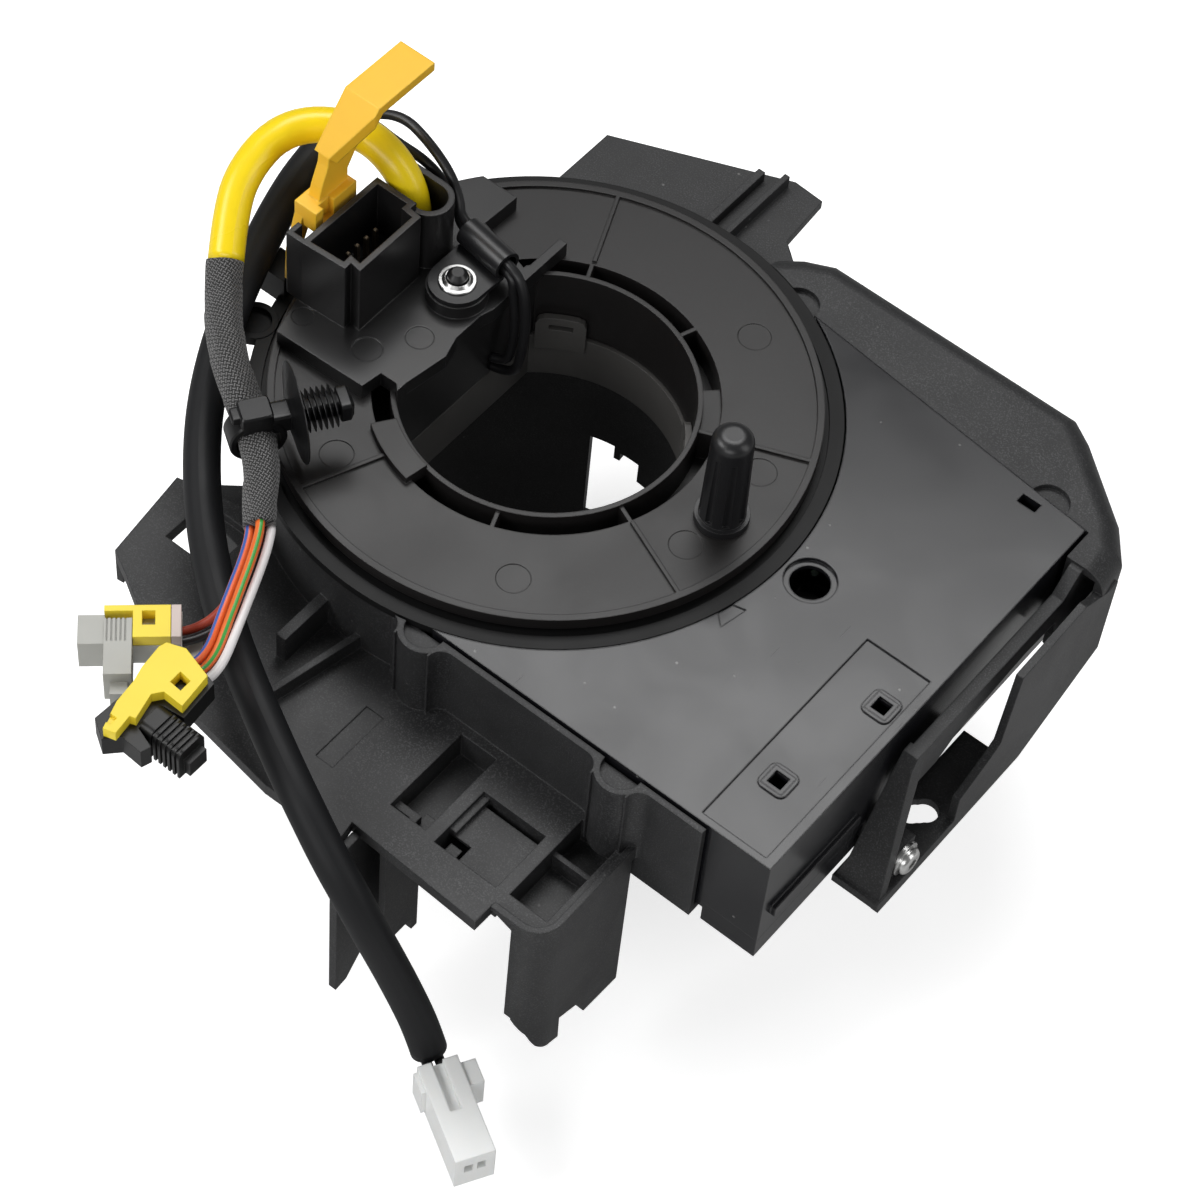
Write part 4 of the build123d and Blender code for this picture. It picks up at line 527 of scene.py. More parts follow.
CLIP_NYLON = Moulded("clip_nylon", (0.006, 0.006, 0.0065), 0.3, edge=0.0002, shine=0.36)
LOCK_YELLOW = Moulded("lock_yellow", (0.95, 0.54, 0.03), 0.33, grain=0.0005, depth=0.000006, mottle=0.05,
                      edge=0.0005, glow=0.06)
PLUG_YELLOW = Moulded("plug_yellow", (0.9, 0.7, 0.035), 0.4, mottle=0.05, edge=0.0002, glow=0.05)
PLUG_BLACK = Moulded("plug_black", (0.006, 0.006, 0.006), 0.36, edge=0.0002, shine=0.35)
PLUG_GREY = Moulded("plug_grey", (0.42, 0.42, 0.39), 0.42, mottle=0.05, edge=0.0002)
COLLAR_PINK = Moulded("collar_pink", (0.6, 0.5, 0.46), 0.42, mottle=0.05, edge=0.0002)
PLUG_WHITE = Moulded("plug_white", (0.83, 0.84, 0.83), 0.3, mottle=0.03, edge=0.0004, glow=0.25)
BOARD_GREEN = Moulded("board_green", (0.01, 0.09, 0.03), 0.3, grain=0.0008)
CHIP_BLACK = Moulded("chip_black", (0.015, 0.015, 0.016), 0.5)
FERRITE = Moulded("ferrite", (0.02, 0.02, 0.021), 0.55, grain=0.0002, depth=0.00002)
CABLE_FILM = Moulded("film", (0.6, 0.58, 0.5), 0.25, edge=0.00005)
BRONZE = Plated("bronze", (0.42, 0.34, 0.24), 0.36)
ZINC_STEEL = Plated("zinc_steel", (0.78, 0.78, 0.77), 0.22)

YELLOW_JACKET = Jacket("tube_yellow", (1.0, 0.74, 0.01), 0.26, math.pi * TUBE_ACROSS * MM, ripple=0.00001)
SLEEVE_JACKET = Jacket("black_sleeve", (0.0085, 0.0088, 0.01), 0.5, math.pi * SLEEVE_ACROSS * MM,
                       ripple=0.00003, shine=0.3)
BLACK_WIRE = Jacket("wire_black", (0.01, 0.01, 0.011), 0.33, math.pi * HORN_WIRE_ACROSS * MM)
LEAD_GIRTH = math.pi * LEAD_ACROSS * MM
ORANGE_BLUE = Jacket("wire_orange_blue", (0.85, 0.15, 0.03), 0.35, LEAD_GIRTH, stripe=(0.05, 0.12, 0.42),
                     stripe_at=0.16, stripe_share=0.12)
ORANGE_GREEN = Jacket("wire_orange_green", (0.85, 0.17, 0.03), 0.35, LEAD_GIRTH, stripe=(0.05, 0.34, 0.06),
                      stripe_at=0.3, stripe_share=0.1)
WHITE_WIRE = Jacket("wire_white", (0.82, 0.79, 0.79), 0.35, LEAD_GIRTH)
RED_WIRE = Jacket("wire_red", (0.36, 0.045, 0.02), 0.35, LEAD_GIRTH)
HARNESS_TAPE = ClothTape("cloth_tape", (0.17, 0.168, 0.168))


def dress(node: str, finish: Finish) -> None:
    """Give a CAD node its finish.

    Args:
        node: the node's name.
        finish: the finish that its real piece has.
    """
    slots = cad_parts[node].data.materials
    slots.clear()
    slots.append(finish.build())
    LOG.info("dressed %s as %s", node, finish.name)


# Surfaces worked out with numpy.


def grid_faces(rows: int, cols: int, closed: bool) -> np.ndarray:
    """Quads of a grid of rows by cols points.

    Args:
        rows: points along the first parameter.
        cols: points along the second parameter.
        closed: whether the second parameter comes back to its start.

    Returns:
        Array of quads as point numbers.
    """
    across = cols if closed else cols - 1
    i, j = np.meshgrid(np.arange(rows - 1), np.arange(across), indexing="ij")
    k = (j + 1) % cols
    return np.stack([i * cols + j, i * cols + k, (i + 1) * cols + k, (i + 1) * cols + j], -1).reshape(-1, 4)


def make_mesh(name: str, points: np.ndarray, faces: np.ndarray, body: str,
              finish: Finish) -> bpy.types.Object:
    """Make a piece from points in metres and ride it on a body.

    Args:
        name: the piece's name.
        points: points by three coordinates.
        faces: faces as point numbers.
        body: the CAD body that it moves with.
        finish: the piece's finish.

    Returns:
        The new object.
    """
    mesh = bpy.data.meshes.new(name)
    mesh.from_pydata(points.reshape(-1, 3), [], faces.tolist())
    mesh.polygons.foreach_set("use_smooth", np.full(len(mesh.polygons), True))
    mesh.update()
    mesh.materials.append(finish.build())
    piece = bpy.data.objects.new(name, mesh)
    bpy.context.scene.collection.objects.link(piece)
    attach(piece, body)
    LOG.info("made %s with %d faces", name, len(mesh.polygons))
    return piece


def join_surfaces(parts: Iterable[Surface]) -> Surface:
    """Put surfaces together: each one's point numbers move past those of the surfaces before it.

    Args:
        parts: points and faces of each surface.

    Returns:
        All points and all faces.
    """
    points, faces = zip(*parts)
    starts = np.cumsum([0] + [len(grid) for grid in points[:-1]])
    return np.concatenate(points), np.concatenate([quads + start for quads, start in zip(faces, starts)])


def route_line(points: np.ndarray) -> np.ndarray:
    """Points read from the NURBS spline that has the route's points as its control points.

    Args:
        points: the route in metres.

    Returns:
        Closely spaced points along the smooth line.
    """
    curve = bpy.data.curves.new("route", "CURVE")
    curve.dimensions = "3D"
    curve.resolution_u = 24
    spline = curve.splines.new("NURBS")
    spline.points.add(len(points) - 1)
    spline.points.foreach_set("co", np.c_[points, np.ones(len(points))].ravel())
    spline.order_u = 3
    spline.use_endpoint_u = True
    holder = bpy.data.objects.new("route", curve)
    line = bpy.data.meshes.new_from_object(holder)
    found = np.zeros(len(line.vertices) * 3)
    line.vertices.foreach_get("co", found)
    bpy.data.objects.remove(holder)
    bpy.data.curves.remove(curve)
    bpy.data.meshes.remove(line)
    return found.reshape(-1, 3)


def even_steps(line: np.ndarray, step: float) -> np.ndarray:
    """Read a line at even distances along it.

    Args:
        line: points along it.
        step: distance between the new points.

    Returns:
        The new points.
    """
    gone = np.r_[0.0, np.cumsum(np.linalg.norm(np.diff(line, axis=0), axis=1))]
    keep = np.r_[True, np.diff(gone) > 1e-9]
    gone, line = gone[keep], line[keep]
    at = np.linspace(0.0, gone[-1], max(8, int(round(gone[-1] / step)) + 1))
    return np.stack([np.interp(at, gone, line[:, k]) for k in range(3)], -1)


def sweep_tube(line: np.ndarray, reference: Place, radius: Callable[[np.ndarray, np.ndarray], np.ndarray],
               sides: int) -> Surface:
    """Tube about a line: centre + radius(s, a) times (side cos a + other sin a), with side = line's
    direction crossed with a fixed reference, and rings that close to a point at both ends.

    Args:
        line: even points along the centre.
        reference: direction that the line never runs along.
        radius: radius for distance s along the line and angle a round it.
        sides: points round the tube.

    Returns:
        The grid of points, ring by ring, and its map with u along and v round.
    """
    ahead = np.gradient(line, axis=0)
    ahead /= np.linalg.norm(ahead, axis=1, keepdims=True)
    side = np.cross(ahead, np.array(reference))
    side /= np.linalg.norm(side, axis=1, keepdims=True)
    other = np.cross(side, ahead)
    gone = np.r_[0.0, np.cumsum(np.linalg.norm(np.diff(line, axis=0), axis=1))]
    angle = np.linspace(0.0, 2 * np.pi, sides + 1)
    size = radius(gone[:, None], angle[None, :])
    points = (line[:, None, :] + size[..., None] * (side[:, None, :] * np.cos(angle)[None, :, None]
                                                    + other[:, None, :] * np.sin(angle)[None, :, None]))
    grid_map = np.stack(np.broadcast_arrays(gone[:, None], angle[None, :] / (2 * np.pi)), -1)
    first = np.broadcast_to(line[0], points[:1].shape)
    last = np.broadcast_to(line[-1], points[:1].shape)
    return np.concatenate([first, points, last]), np.concatenate([grid_map[:1], grid_map, grid_map[-1:]])


@dataclass
class Loft:
    """Moulded form lofted through cross sections along an axis.

    A section is (height, half width, half depth, power) in millimetres. Its outline is the curve
    |x / width| ** power + |y / depth| ** power = 1, so a power of 2 gives an ellipse and a larger one a
    rounded rectangle.
    """

    sections: tuple[tuple[float, float, float, float], ...]
    centre: Place
    axis: Place
    up: Place
    sides: int = 56

    def surface(self) -> Surface:
        """Points are centre + height axis + width c across + depth s up, where c and s are the signed
        cosine and sine of the angle raised to 2 / power, and across is up crossed with the axis.

        Returns:
            The points in metres and the faces as point numbers.
        """
        axis, up = np.array(self.axis), np.array(self.up)
        across = np.cross(up, axis)
        height, width, depth, power = np.array(self.sections).T[:, :, None]
        angle = np.linspace(0.0, 2 * np.pi, self.sides, endpoint=False)[None, :]
        cosine = np.sign(np.cos(angle)) * np.abs(np.cos(angle)) ** (2 / power)
        sine = np.sign(np.sin(angle)) * np.abs(np.sin(angle)) ** (2 / power)
        points = (np.array(self.centre) + height[..., None] * axis + (width * cosine)[..., None] * across
                  + (depth * sine)[..., None] * up)
        return points.reshape(-1, 3) * MM, grid_faces(len(self.sections), self.sides, True)


MERGE_WITHIN = 0.01 * MM
SHARP_FROM = math.radians(32)


def moulded_piece(name: str, lofts: tuple[Loft, ...], body: str, finish: Finish,
                  node: str) -> bpy.types.Object:
    """Join lofted forms into one piece that stands for a CAD node.

    Args:
        name: the piece's name.
        lofts: its forms.
        body: the CAD body that it moves with.
        finish: its finish.
        node: the node that it replaces.

    Returns:
        The new object.
    """
    piece = make_mesh(name, *join_surfaces(loft.surface() for loft in lofts), body, finish)
    shell = bmesh.new()
    shell.from_mesh(piece.data)
    bmesh.ops.remove_doubles(shell, verts=shell.verts, dist=MERGE_WITHIN)
    bmesh.ops.recalc_face_normals(shell, faces=shell.faces)
    shell.to_mesh(piece.data)
    shell.free()
    piece.data.set_sharp_from_angle(angle=SHARP_FROM)
    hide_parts(node)
    return piece


@dataclass
class Cord:
    """One free cord of the harness, swept along its route."""

    name: str
    route: Points
    diameter: float
    finish: Finish
    far_end: FarEnd
    stiffness: Stiffness = Stiffness.MEDIUM
    reference: Place = UP
    sides: int = 20
    step: float = 0.0015
    shape: Callable[[np.ndarray, np.ndarray], np.ndarray] | None = None
    carried: tuple[str, ...] = ()
    pieces: tuple = ()
    body: str = "rotor"

    def build(self) -> bpy.types.Object:
        """Returns:
            The cord's mesh object.
        """
        line = even_steps(route_line(np.array(self.route) * MM), self.step)
        half = self.diameter / 2 * MM
        radius = self.shape or (lambda s, a: np.full(np.broadcast(s, a).shape, half))
        points, where = sweep_tube(line, self.reference, radius, self.sides)
        rows, cols = points.shape[:2]
        piece = make_mesh(self.name + "_cord", points, grid_faces(rows, cols, False), self.body, self.finish)
        girth = math.pi * self.diameter * MM
        spread = (where * np.array([1.0, girth])).reshape(-1, 2)
        corners = np.zeros(len(piece.data.loops), np.int32)
        piece.data.loops.foreach_get("vertex_index", corners)
        layer = piece.data.uv_layers.new(name="UVMap")
        layer.data.foreach_set("uv", spread[corners].ravel())
        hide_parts(self.name)
        return piece


def tape_shape(s: np.ndarray, a: np.ndarray) -> np.ndarray:
    """Radius of the taped bundle: each turn of tape ends in a step that winds round the cord, over a
    bundle that is not quite round and thinner at its end.

    Args:
        s: distance along the cord.
        a: angle round it.

    Returns:
        The radius in metres.
    """
    turn = 9.5 * MM
    phase = (s / turn + a / (2 * np.pi)) % 1.0
    step = 0.16 * MM * (1.0 - phase) * np.clip(phase / 0.04, 0.0, 1.0)
    bundle = 0.13 * MM * np.cos(3 * a + s / (9 * MM)) + 0.07 * MM * np.sin(5 * a - s / (5 * MM))
    taper = 0.5 * MM * np.clip((s - 38 * MM) / (18 * MM), 0.0, 1.0)
    return TAPE_RADIUS + step + bundle - taper


@dataclass
class Harness:
    """Cords, plugs and the clip of the steering wheel's harness; route points in millimetres."""

    yellow_tube: Points = (
        (-40.6, 9.4, 4.0), (-40.6, 9.4, 13.0), (-44.6, 9.4, 21.0), (-52.5, 9.1, 24.6), (-60.3, 4.6, 25.5),
        (-64.6, -2.0, 25.0), (-64.9, -10.3, 22.5), (-62.7, -17.4, 19.0), (-57.1, -25.2, 14.0))
    tape_wrap: Points = (
        (-57.1, -25.2, 14.0), (-54.2, -29.23, 11.41), (-49.0, -34.8, 10.2), (-43.5, -39.4, 9.8),
        (-37.0, -43.8, 9.2), (-29.8, -47.6, 8.0), (-23.4, -52.8, 7.0), (-19.0, -58.4, 6.4),
        (-15.7, -62.0, 6.2))
    sleeve: Points = (
        (-62.8, 11.0, 14.0), (-63.0, 4.0, 12.2), (-61.6, -6.0, 8.6), (-58.7, -17.0, 4.5), (-54.6, -29.0, 0.2),
        (-48.1, -41.2, -3.6), (-39.6, -51.9, -5.5), (-29.5, -61.9, -7.0), (-19.3, -70.0, -7.6),
        (-7.8, -77.6, -8.4), (5.0, -84.2, -10.4), (14.9, -88.9, -12.4), (22.0, -91.9, -14.3),
        (28.5, -94.0, -18.4), (34.1, -94.6, -24.7), (38.0, -94.0, -32.8), (41.8, -92.6, -43.0),
        (45.6, -91.5, -53.0), (48.9, -91.2, -60.5), (51.1, -91.5, -65.8))
    horn_wire_a: Points = (
        (-62.8, 10.73, 15.07), (-62.69, 14.6, 16.06), (-58.6, 17.2, 19.1), (-52.0, 19.0, 21.6),
        (-45.0, 17.8, 21.0), (-38.8, 17.0, 17.6), (-35.6, 16.2, 13.4), (-33.3, 14.22, 10.25),
        (-18.6, 11.84, 10.25), (-15.34, 11.4, 6.65), (-13.34, 10.2, -0.95), (-13.14, 9.0, -7.95),
        (-13.74, 8.0, -14.76), (-19.3, 7.6, -15.36))
    horn_wire_b: Points = (
        (-62.8, 11.27, 12.93), (-62.69, 15.15, 13.93), (-58.6, 17.2, 16.9), (-51.0, 15.4, 18.4),
        (-44.0, 16.4, 17.2), (-39.4, 16.9, 13.6), (-35.8, 16.2, 10.2), (-33.3, 14.22, 8.15),
        (-18.6, 11.84, 8.15), (-17.86, 11.4, 4.55), (-15.86, 10.2, -3.05), (-15.66, 9.0, -10.05),
        (-16.26, 8.0, -12.24), (-19.3, 7.6, -12.84))
    lead_blue: Points = ((-17.1, -63.28, 6.2), (-15.08, -65.49, 6.08), (-8.0, -80.6, 7.2),
                         (-5.16, -87.77, 4.2), (-5.9, -90.68, 4.2))
    lead_green: Points = ((-15.65, -62.06, 8.1), (-13.62, -64.27, 7.98), (-6.0, -80.4, 8.2),
                          (-3.16, -88.28, 4.2), (-3.9, -91.18, 4.2))
    lead_white: Points = ((-14.3, -60.72, 6.2), (-12.27, -62.93, 6.08), (-4.2, -80.2, 7.0),
                          (-1.16, -88.78, 4.2), (-1.9, -91.69, 4.2))
    lead_red: Points = ((-15.7, -62.0, 6.2), (-13.67, -64.21, 6.08), (-9.6, -77.6, 3.6),
                        (-12.22, -83.84, 0.6), (-14.45, -85.85, 0.6))
    lead_black: Points = ((-15.75, -61.94, 4.3), (-13.73, -64.15, 4.18), (-8.8, -78.8, 1.0),
                          (-10.75, -85.47, 0.6), (-12.97, -87.49, 0.6))

    white_leads: tuple[Points, ...] = (
        ((50.98, -90.22, -65.1), (51.58, -90.3, -66.5), (54.3, -92.0, -66.0), (55.63, -92.72, -66.0)),
        ((50.63, -92.7, -65.1), (51.24, -92.78, -66.5), (53.1, -94.15, -66.0), (54.38, -94.88, -66.0)))

    def build(self) -> None:
        """Sweep every cord and dress the plugs, the clip and the clamp."""
        for name, route in (("horn_wire_a", self.horn_wire_a), ("horn_wire_b", self.horn_wire_b)):
            Cord(name, route, HORN_WIRE_ACROSS, BLACK_WIRE, FarEnd.OBJECT, Stiffness.LIMP,
                 reference=(0.2, 1.0, 0.15), sides=12, step=0.0008).build()
        leads = (("lead_blue", self.lead_blue, ORANGE_BLUE, ("yellow_plug", "yellow_lock")),
                 ("lead_white", self.lead_white, WHITE_WIRE, ()),
                 ("lead_green", self.lead_green, ORANGE_GREEN, ()),
                 ("lead_red", self.lead_red, RED_WIRE, ()),
                 ("lead_black", self.lead_black, BLACK_WIRE, ()))
        built = {}
        for name, route, finish, carried in leads:
            far_end = FarEnd.CONNECTOR if carried else FarEnd.OBJECT
            built[name] = Cord(name, route, LEAD_ACROSS, finish, far_end, Stiffness.LIMP, sides=14,
                               step=0.0008, carried=carried).build()
        Cord("yellow_tube", self.yellow_tube, TUBE_ACROSS, YELLOW_JACKET, FarEnd.OBJECT,
             reference=(0.1, 1.0, 0.1), sides=32).build()
        Cord("tape_wrap", self.tape_wrap, TAPE_ACROSS, HARNESS_TAPE, FarEnd.OBJECT,
             sides=36, step=0.0006, shape=tape_shape,
             carried=("grey_plug", "grey_lock", "grey_collar"),
             pieces=(TreeClip().build(), built["lead_red"], built["lead_black"])).build()
        Cord("sleeve", self.sleeve, SLEEVE_ACROSS, SLEEVE_JACKET, FarEnd.PLUG,
             reference=(0.35, 0.9, 0.2), sides=32, carried=("white_plug",),
             pieces=(self.plug_leads(),)).build()
        for node, finish in (("cable_clamp", BLACK_NYLON),
                             ("yellow_plug", PLUG_BLACK), ("yellow_lock", PLUG_YELLOW),
                             ("grey_plug", PLUG_GREY), ("grey_lock", PLUG_YELLOW),
                             ("grey_collar", COLLAR_PINK), ("white_plug", PLUG_WHITE)):
            dress(node, finish)

    def plug_leads(self) -> bpy.types.Object:
        """Sweep the two short wires between the sleeve and the white plug.

        Returns:
            One piece with both wires.
        """
        parts = []
        for route in self.white_leads:
            line = even_steps(route_line(np.array(route) * MM), 0.0005)
            grid, _ = sweep_tube(line, UP, lambda s, a: np.full(np.broadcast(s, a).shape, 1.0 * MM), 14)
            parts.append((grid.reshape(-1, 3), grid_faces(*grid.shape[:2], False)))
        piece = make_mesh("white_leads_pair", *join_surfaces(parts), "rotor", BLACK_NYLON)
        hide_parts("white_leads")
        return piece


@dataclass
class TreeClip:
    """Cable clip with a band round the tape, a dish, a fir-tree stem and a head; sizes in millimetres.

    The band's middle is at, the tape runs through it along flat, and the stem points along side.
    """

    at: Place = (-29.8, -47.6, 8.0)
    flat: Place = (0.83391, -0.5519, 0.0)
    side: Place = (0.5519, 0.83391, 0.0)
    axis_z: float = 11.0
    band_in: float = 4.2
    band_out: float = 5.4
    band_half: float = 2.5
    dish_at: float = 6.5
    dish_r: float = 9.6
    tooth: float = 4.4
    pitch: float = 1.05
    teeth: int = 7

    def band(self) -> Loft:
        """Ring round the tape with rounded outer edges.

        Returns:
            The ring, turned about the tape.
        """
        low, high = self.band_in, self.band_out
        half = self.band_half
        profile = ((-half, low), (-half, high - 0.3), (0.3 - half, high), (half - 0.3, high),
                   (half, high - 0.3), (half, low), (-half, low))
        return Loft(tuple((h, r, r, 2.0) for h, r in profile), self.at, self.flat, UP)

    def stem(self) -> Loft:
        """Bar, dish, pointed teeth on both sides and the head.

        Returns:
            All of them as one loft along the stem.
        """
        d, r = self.dish_at, self.dish_r
        rows = [(1.0, 0.0, 0.0, 8.0), (1.0, 2.2, 2.2, 8.0), (d - 0.3, 2.2, 2.2, 8.0),
                (d - 0.3, 3.4, 3.4, 2.0), (d + 0.2, 5.6, 5.6, 2.0), (d + 1.0, r - 0.1, r - 0.1, 2.0),
                (d + 1.2, r, r, 2.0),
                (d + 1.25, r - 0.2, r - 0.2, 2.0), (d + 0.7, 5.4, 5.4, 2.0), (d + 0.6, 1.5, 2.0, 4.0)]
        start = d + 1.5
        for tooth in range(self.teeth):
            low = start + tooth * self.pitch
            rows += [(low, 1.5, 2.0, 4.0), (low + 0.12, self.tooth, 2.3, 3.0),
                     (low + 0.22, self.tooth, 2.3, 3.0), (low + self.pitch * 0.8, 1.5, 2.0, 4.0)]
        end = start + self.teeth * self.pitch
        rows += [(end, 1.5, 2.0, 4.0), (end, 2.5, 2.1, 7.0), (end + 0.2, 2.8, 2.3, 7.0),
                 (end + 1.9, 2.8, 2.3, 7.0), (end + 2.6, 2.0, 1.6, 7.0), (end + 2.6, 0.0, 0.0, 7.0)]
        return Loft(tuple(rows), (self.at[0], self.at[1], self.axis_z), self.side, UP)

    def block(self) -> tuple[Loft, Loft]:
        """Block between band and bar, and the latch tongue on its far side.

        Returns:
            The block and the tongue.
        """
        foot = Loft(((2.6, 0.0, 0.0, 9.0), (2.6, 3.0, 2.6, 9.0), (6.6, 3.0, 2.6, 9.0), (6.9, 2.7, 2.3, 9.0),
                     (6.9, 0.0, 0.0, 9.0)), self.at, UP, self.flat)
        tongue = Loft(((-4.6, 0.0, 0.0, 9.0), (-4.6, 1.2, 0.5, 9.0), (-4.3, 1.5, 0.8, 9.0),
                       (2.0, 1.8, 1.1, 9.0), (2.0, 0.0, 0.0, 9.0)),
                      (self.at[0], self.at[1], self.at[2] + 5.7), self.side, UP)
        return foot, tongue

    def build(self) -> bpy.types.Object:
        """Make the clip and let it stand for the CAD node.

        Returns:
            The clip, which the tape carries.
        """
        return moulded_piece("tree_clip", (self.band(), self.stem(), *self.block()), "rotor", CLIP_NYLON,
                             "cable_clip")


@dataclass
class PushWasher:
    """Washer pushed on the stud: a flat ring with a raised cone inside, as heights and radii in
    millimetres."""

    profile: tuple[tuple[float, float], ...] = (
        (0.0, 2.9), (0.0, 3.7), (0.35, 3.7), (0.5, 3.55), (0.5, 2.95), (1.05, 2.4), (1.0, 2.2), (0.3, 2.55),
        (0.0, 2.9))

    def build(self) -> None:
        """Turn the ring about the middle of the CAD node that it stands for."""
        low, high = (np.array(corner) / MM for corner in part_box("push_washer"))
        centre = ((low[0] + high[0]) / 2, (low[1] + high[1]) / 2, low[2])
        ring = Loft(tuple((h, r, r, 2.0) for h, r in self.profile), centre, UP, (0.0, 1.0, 0.0))
        moulded_piece("washer_ring", (ring,), "rotor", ZINC_STEEL, "push_washer")


class RotorGroup:
    """Rotor disc with its connector block, drive pin, lock and contacts."""

    def build(self) -> None:
        """Dress the rotor's pieces."""
        for node, finish in (("rotor_disc", BLACK_ACETAL), ("connector_block", GLOSSY_ACETAL),
                             ("drive_pin", BLACK_NYLON), ("shipping_lock", LOCK_YELLOW),
                             ("contact_pins", BRONZE), ("cancel_ring", GREY_ACETAL),
                             ("ring_gear", NATURAL_ACETAL)):
            dress(node, finish)
        PushWasher().build()


class Housing:
    """Stator, sensor box, bracket and what they hold."""

    def build(self) -> None:
        """Dress the housing's pieces."""
        for node, finish in (("stator", STATOR_BLACK), ("sensor_cover", BLACK_ABS),
                             ("sensor_base", BLACK_ABS), ("bracket", GLASS_FILLED),
                             ("torx_screw", ZINC_STEEL),
                             ("wheel_a", BLACK_ACETAL), ("wheel_b", BLACK_ACETAL),
                             ("magnet_a", FERRITE), ("magnet_b", FERRITE), ("circuit_board", BOARD_GREEN),
                             ("header_pins", BRONZE), ("sensor_chips", CHIP_BLACK),
                             ("flat_cable", CABLE_FILM)):
            dress(node, finish)


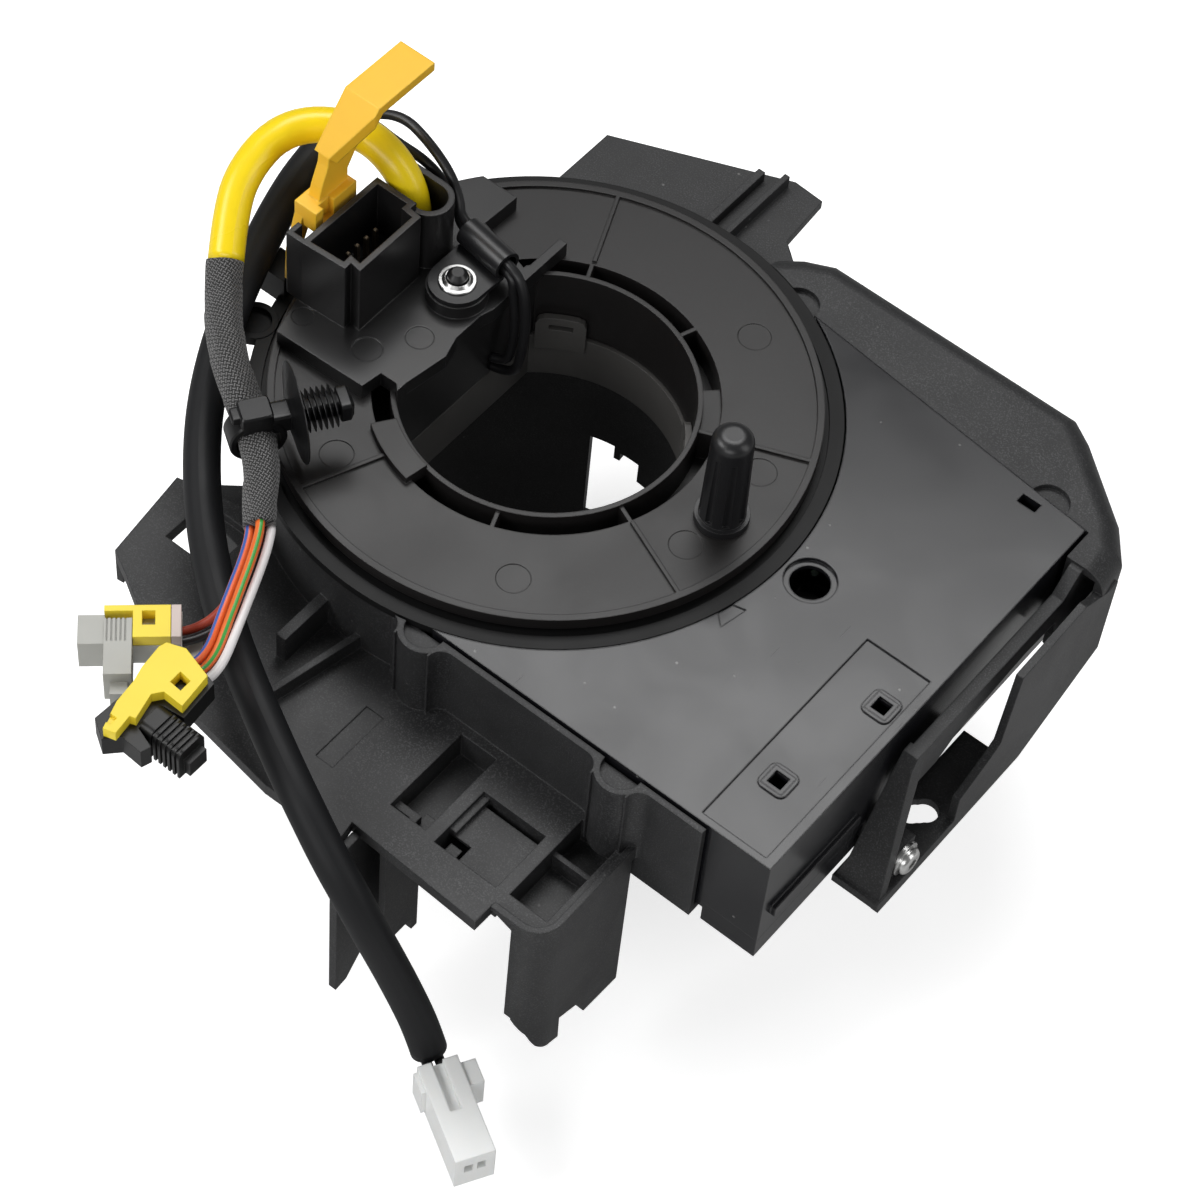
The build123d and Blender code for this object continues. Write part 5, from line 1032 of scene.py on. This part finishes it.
@dataclass
class Studio:
    """Camera at the photograph's angle, pale floor and soft lamps."""

    place: Place = (0.24562, -0.34466, 0.53254)
    azimuth: float = 33.564
    elevation: float = 54.707
    roll: float = 6.4245
    focal: float = 3649.3
    image: float = 1200.0
    sensor: float = 36.0
    floor_z: float = -0.0842
    floor_half: float = 3.0
    floor_glow: float = 0.62
    world_light: float = 0.15
    lamps: tuple = field(default_factory=lambda: (
        ((-0.25, 0.36, 1.0), (0.0, -0.02, -0.02), 0.7, 0.5, 6.4),
        ((0.85, 0.25, 0.45), (0.03, 0.0, -0.02), 0.35, 0.9, 2.1),
        ((-0.6, -0.7, 0.8), (0.0, -0.02, -0.02), 0.8, 0.5, 7.0),
        ((0.35, -0.95, 0.45), (0.02, -0.02, -0.03), 0.8, 0.4, 3.2),
    ))

    @staticmethod
    def stand(data: bpy.types.ID, axes: tuple, place: Place) -> bpy.types.Object:
        """Put a camera or lamp at a place, with its own x, y and z along three axes.

        Args:
            data: the camera or lamp.
            axes: its x, y and z directions.
            place: where it stands, in metres.

        Returns:
            The new object.
        """
        thing = bpy.data.objects.new(data.name, data)
        matrix = np.eye(4)
        matrix[:3, :3] = np.stack(axes, 1)
        matrix[:3, 3] = place
        thing.matrix_world = Matrix(matrix.tolist())
        bpy.context.scene.collection.objects.link(thing)
        return thing

    def camera(self) -> None:
        """Pinhole camera: its axes are the viewing frame turned by the roll."""
        az, el, roll = (math.radians(v) for v in (self.azimuth, self.elevation, self.roll))
        back = np.array([math.sin(az) * math.cos(el), -math.cos(az) * math.cos(el), math.sin(el)])
        right = np.cross(UP, back)
        right /= np.linalg.norm(right)
        up = np.cross(back, right)
        across = math.cos(roll) * right + math.sin(roll) * up
        above = -math.sin(roll) * right + math.cos(roll) * up
        data = bpy.data.cameras.new("camera")
        data.sensor_width = self.sensor
        data.sensor_fit = "HORIZONTAL"
        data.lens = self.focal / self.image * self.sensor
        data.clip_start = 0.05
        data.clip_end = 20.0
        bpy.context.scene.camera = self.stand(data, (across, above, back), self.place)

    def floor(self) -> None:
        """Wide pale floor that keeps the object's shadow and is white to the camera, with its colour painted
        darker where the object's surfaces reflect it.
        """
        mesh = bpy.data.meshes.new("floor")
        half = self.floor_half
        corners = ((-half, -half), (half, -half), (half, half), (-half, half))
        mesh.from_pydata([(x, y, self.floor_z) for x, y in corners], [], [(0, 1, 2, 3)])
        plane = bpy.data.objects.new("floor", mesh)
        bpy.context.scene.collection.objects.link(plane)
        maker = MaterialMaker("floor_paper")
        maker.fix(Roughness=0.9, Specular_IOR_Level=0.1)
        ray = maker.node("ShaderNodeLightPath").outputs
        # Painted shade in reflections: glossy rays see the floor at 0.46 instead of 0.86, and with only a
        # faint glow, so the black parts reflect a darker floor than the camera sees.
        paper_dimmed_in_reflections = maker.blend(ray["Is Glossy Ray"], (0.86, 0.86, 0.86, 1.0), (0.46, 0.46, 0.46, 1.0))
        maker.feed("Base Color", paper_dimmed_in_reflections)
        faint = maker.calc("MULTIPLY", ray["Is Glossy Ray"], 0.1)
        seen = maker.calc("MAXIMUM", ray["Is Camera Ray"], faint)
        glow = maker.node("ShaderNodeEmission", {"Color": WHITE, "Strength": self.floor_glow}).outputs[0]
        none = maker.node("ShaderNodeEmission", {"Strength": 0.0}).outputs[0]
        mixed = maker.node("ShaderNodeMixShader", {0: seen, 1: none, 2: glow}).outputs[0]
        total = maker.node("ShaderNodeAddShader", {0: maker.shader.outputs[0], 1: mixed}).outputs[0]
        maker.tree.links.new(total, maker.tree.nodes["Material Output"].inputs["Surface"])
        mesh.materials.append(maker.material)

    def light(self) -> None:
        """Soft lamps, and a world that is white to the camera and dim to the object."""
        for number, (place, target, width, height, power) in enumerate(self.lamps):
            data = bpy.data.lights.new(f"softbox_{number}", "AREA")
            data.shape = "RECTANGLE"
            data.size, data.size_y = width, height
            data.energy = power
            back = np.array(place) - np.array(target)
            back /= np.linalg.norm(back)
            right = np.cross(UP, back)
            right /= np.linalg.norm(right)
            self.stand(data, (right, np.cross(back, right), back), place)
        world = bpy.data.worlds.new("studio")
        bpy.context.scene.world = world
        world.use_nodes = True
        tree = world.node_tree
        ray = add_node(tree, "ShaderNodeLightPath").outputs
        seen = add_node(tree, "ShaderNodeMath", {0: ray["Is Camera Ray"], 1: ray["Is Transmission Ray"]},
                        operation="MAXIMUM").outputs[0]
        soft = tree.nodes["Background"]
        soft.inputs["Color"].default_value = WHITE
        soft.inputs["Strength"].default_value = self.world_light
        bright = add_node(tree, "ShaderNodeBackground", {"Color": WHITE, "Strength": 1.0})
        mixed = add_node(tree, "ShaderNodeMixShader", {0: seen, 1: soft.outputs[0], 2: bright.outputs[0]})
        tree.links.new(mixed.outputs[0], tree.nodes["World Output"].inputs["Surface"])

    def build(self) -> None:
        """Make the camera, the floor and the lamps."""
        self.camera()
        self.floor()
        self.light()
        bpy.context.scene.view_settings.view_transform = "Standard"


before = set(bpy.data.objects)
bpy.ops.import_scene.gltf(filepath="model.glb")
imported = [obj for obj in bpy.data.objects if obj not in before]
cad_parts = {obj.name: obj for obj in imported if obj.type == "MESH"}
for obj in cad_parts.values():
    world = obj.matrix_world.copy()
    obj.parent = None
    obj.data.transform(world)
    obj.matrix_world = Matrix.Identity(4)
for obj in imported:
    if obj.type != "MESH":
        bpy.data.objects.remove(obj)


def main() -> None:
    """Build the scene in order."""
    logging.basicConfig(level=logging.INFO, format="%(name)s: %(message)s")
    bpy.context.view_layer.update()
    Studio().build()
    Harness().build()
    RotorGroup().build()
    Housing().build()


if __name__ == "__main__":
    main()
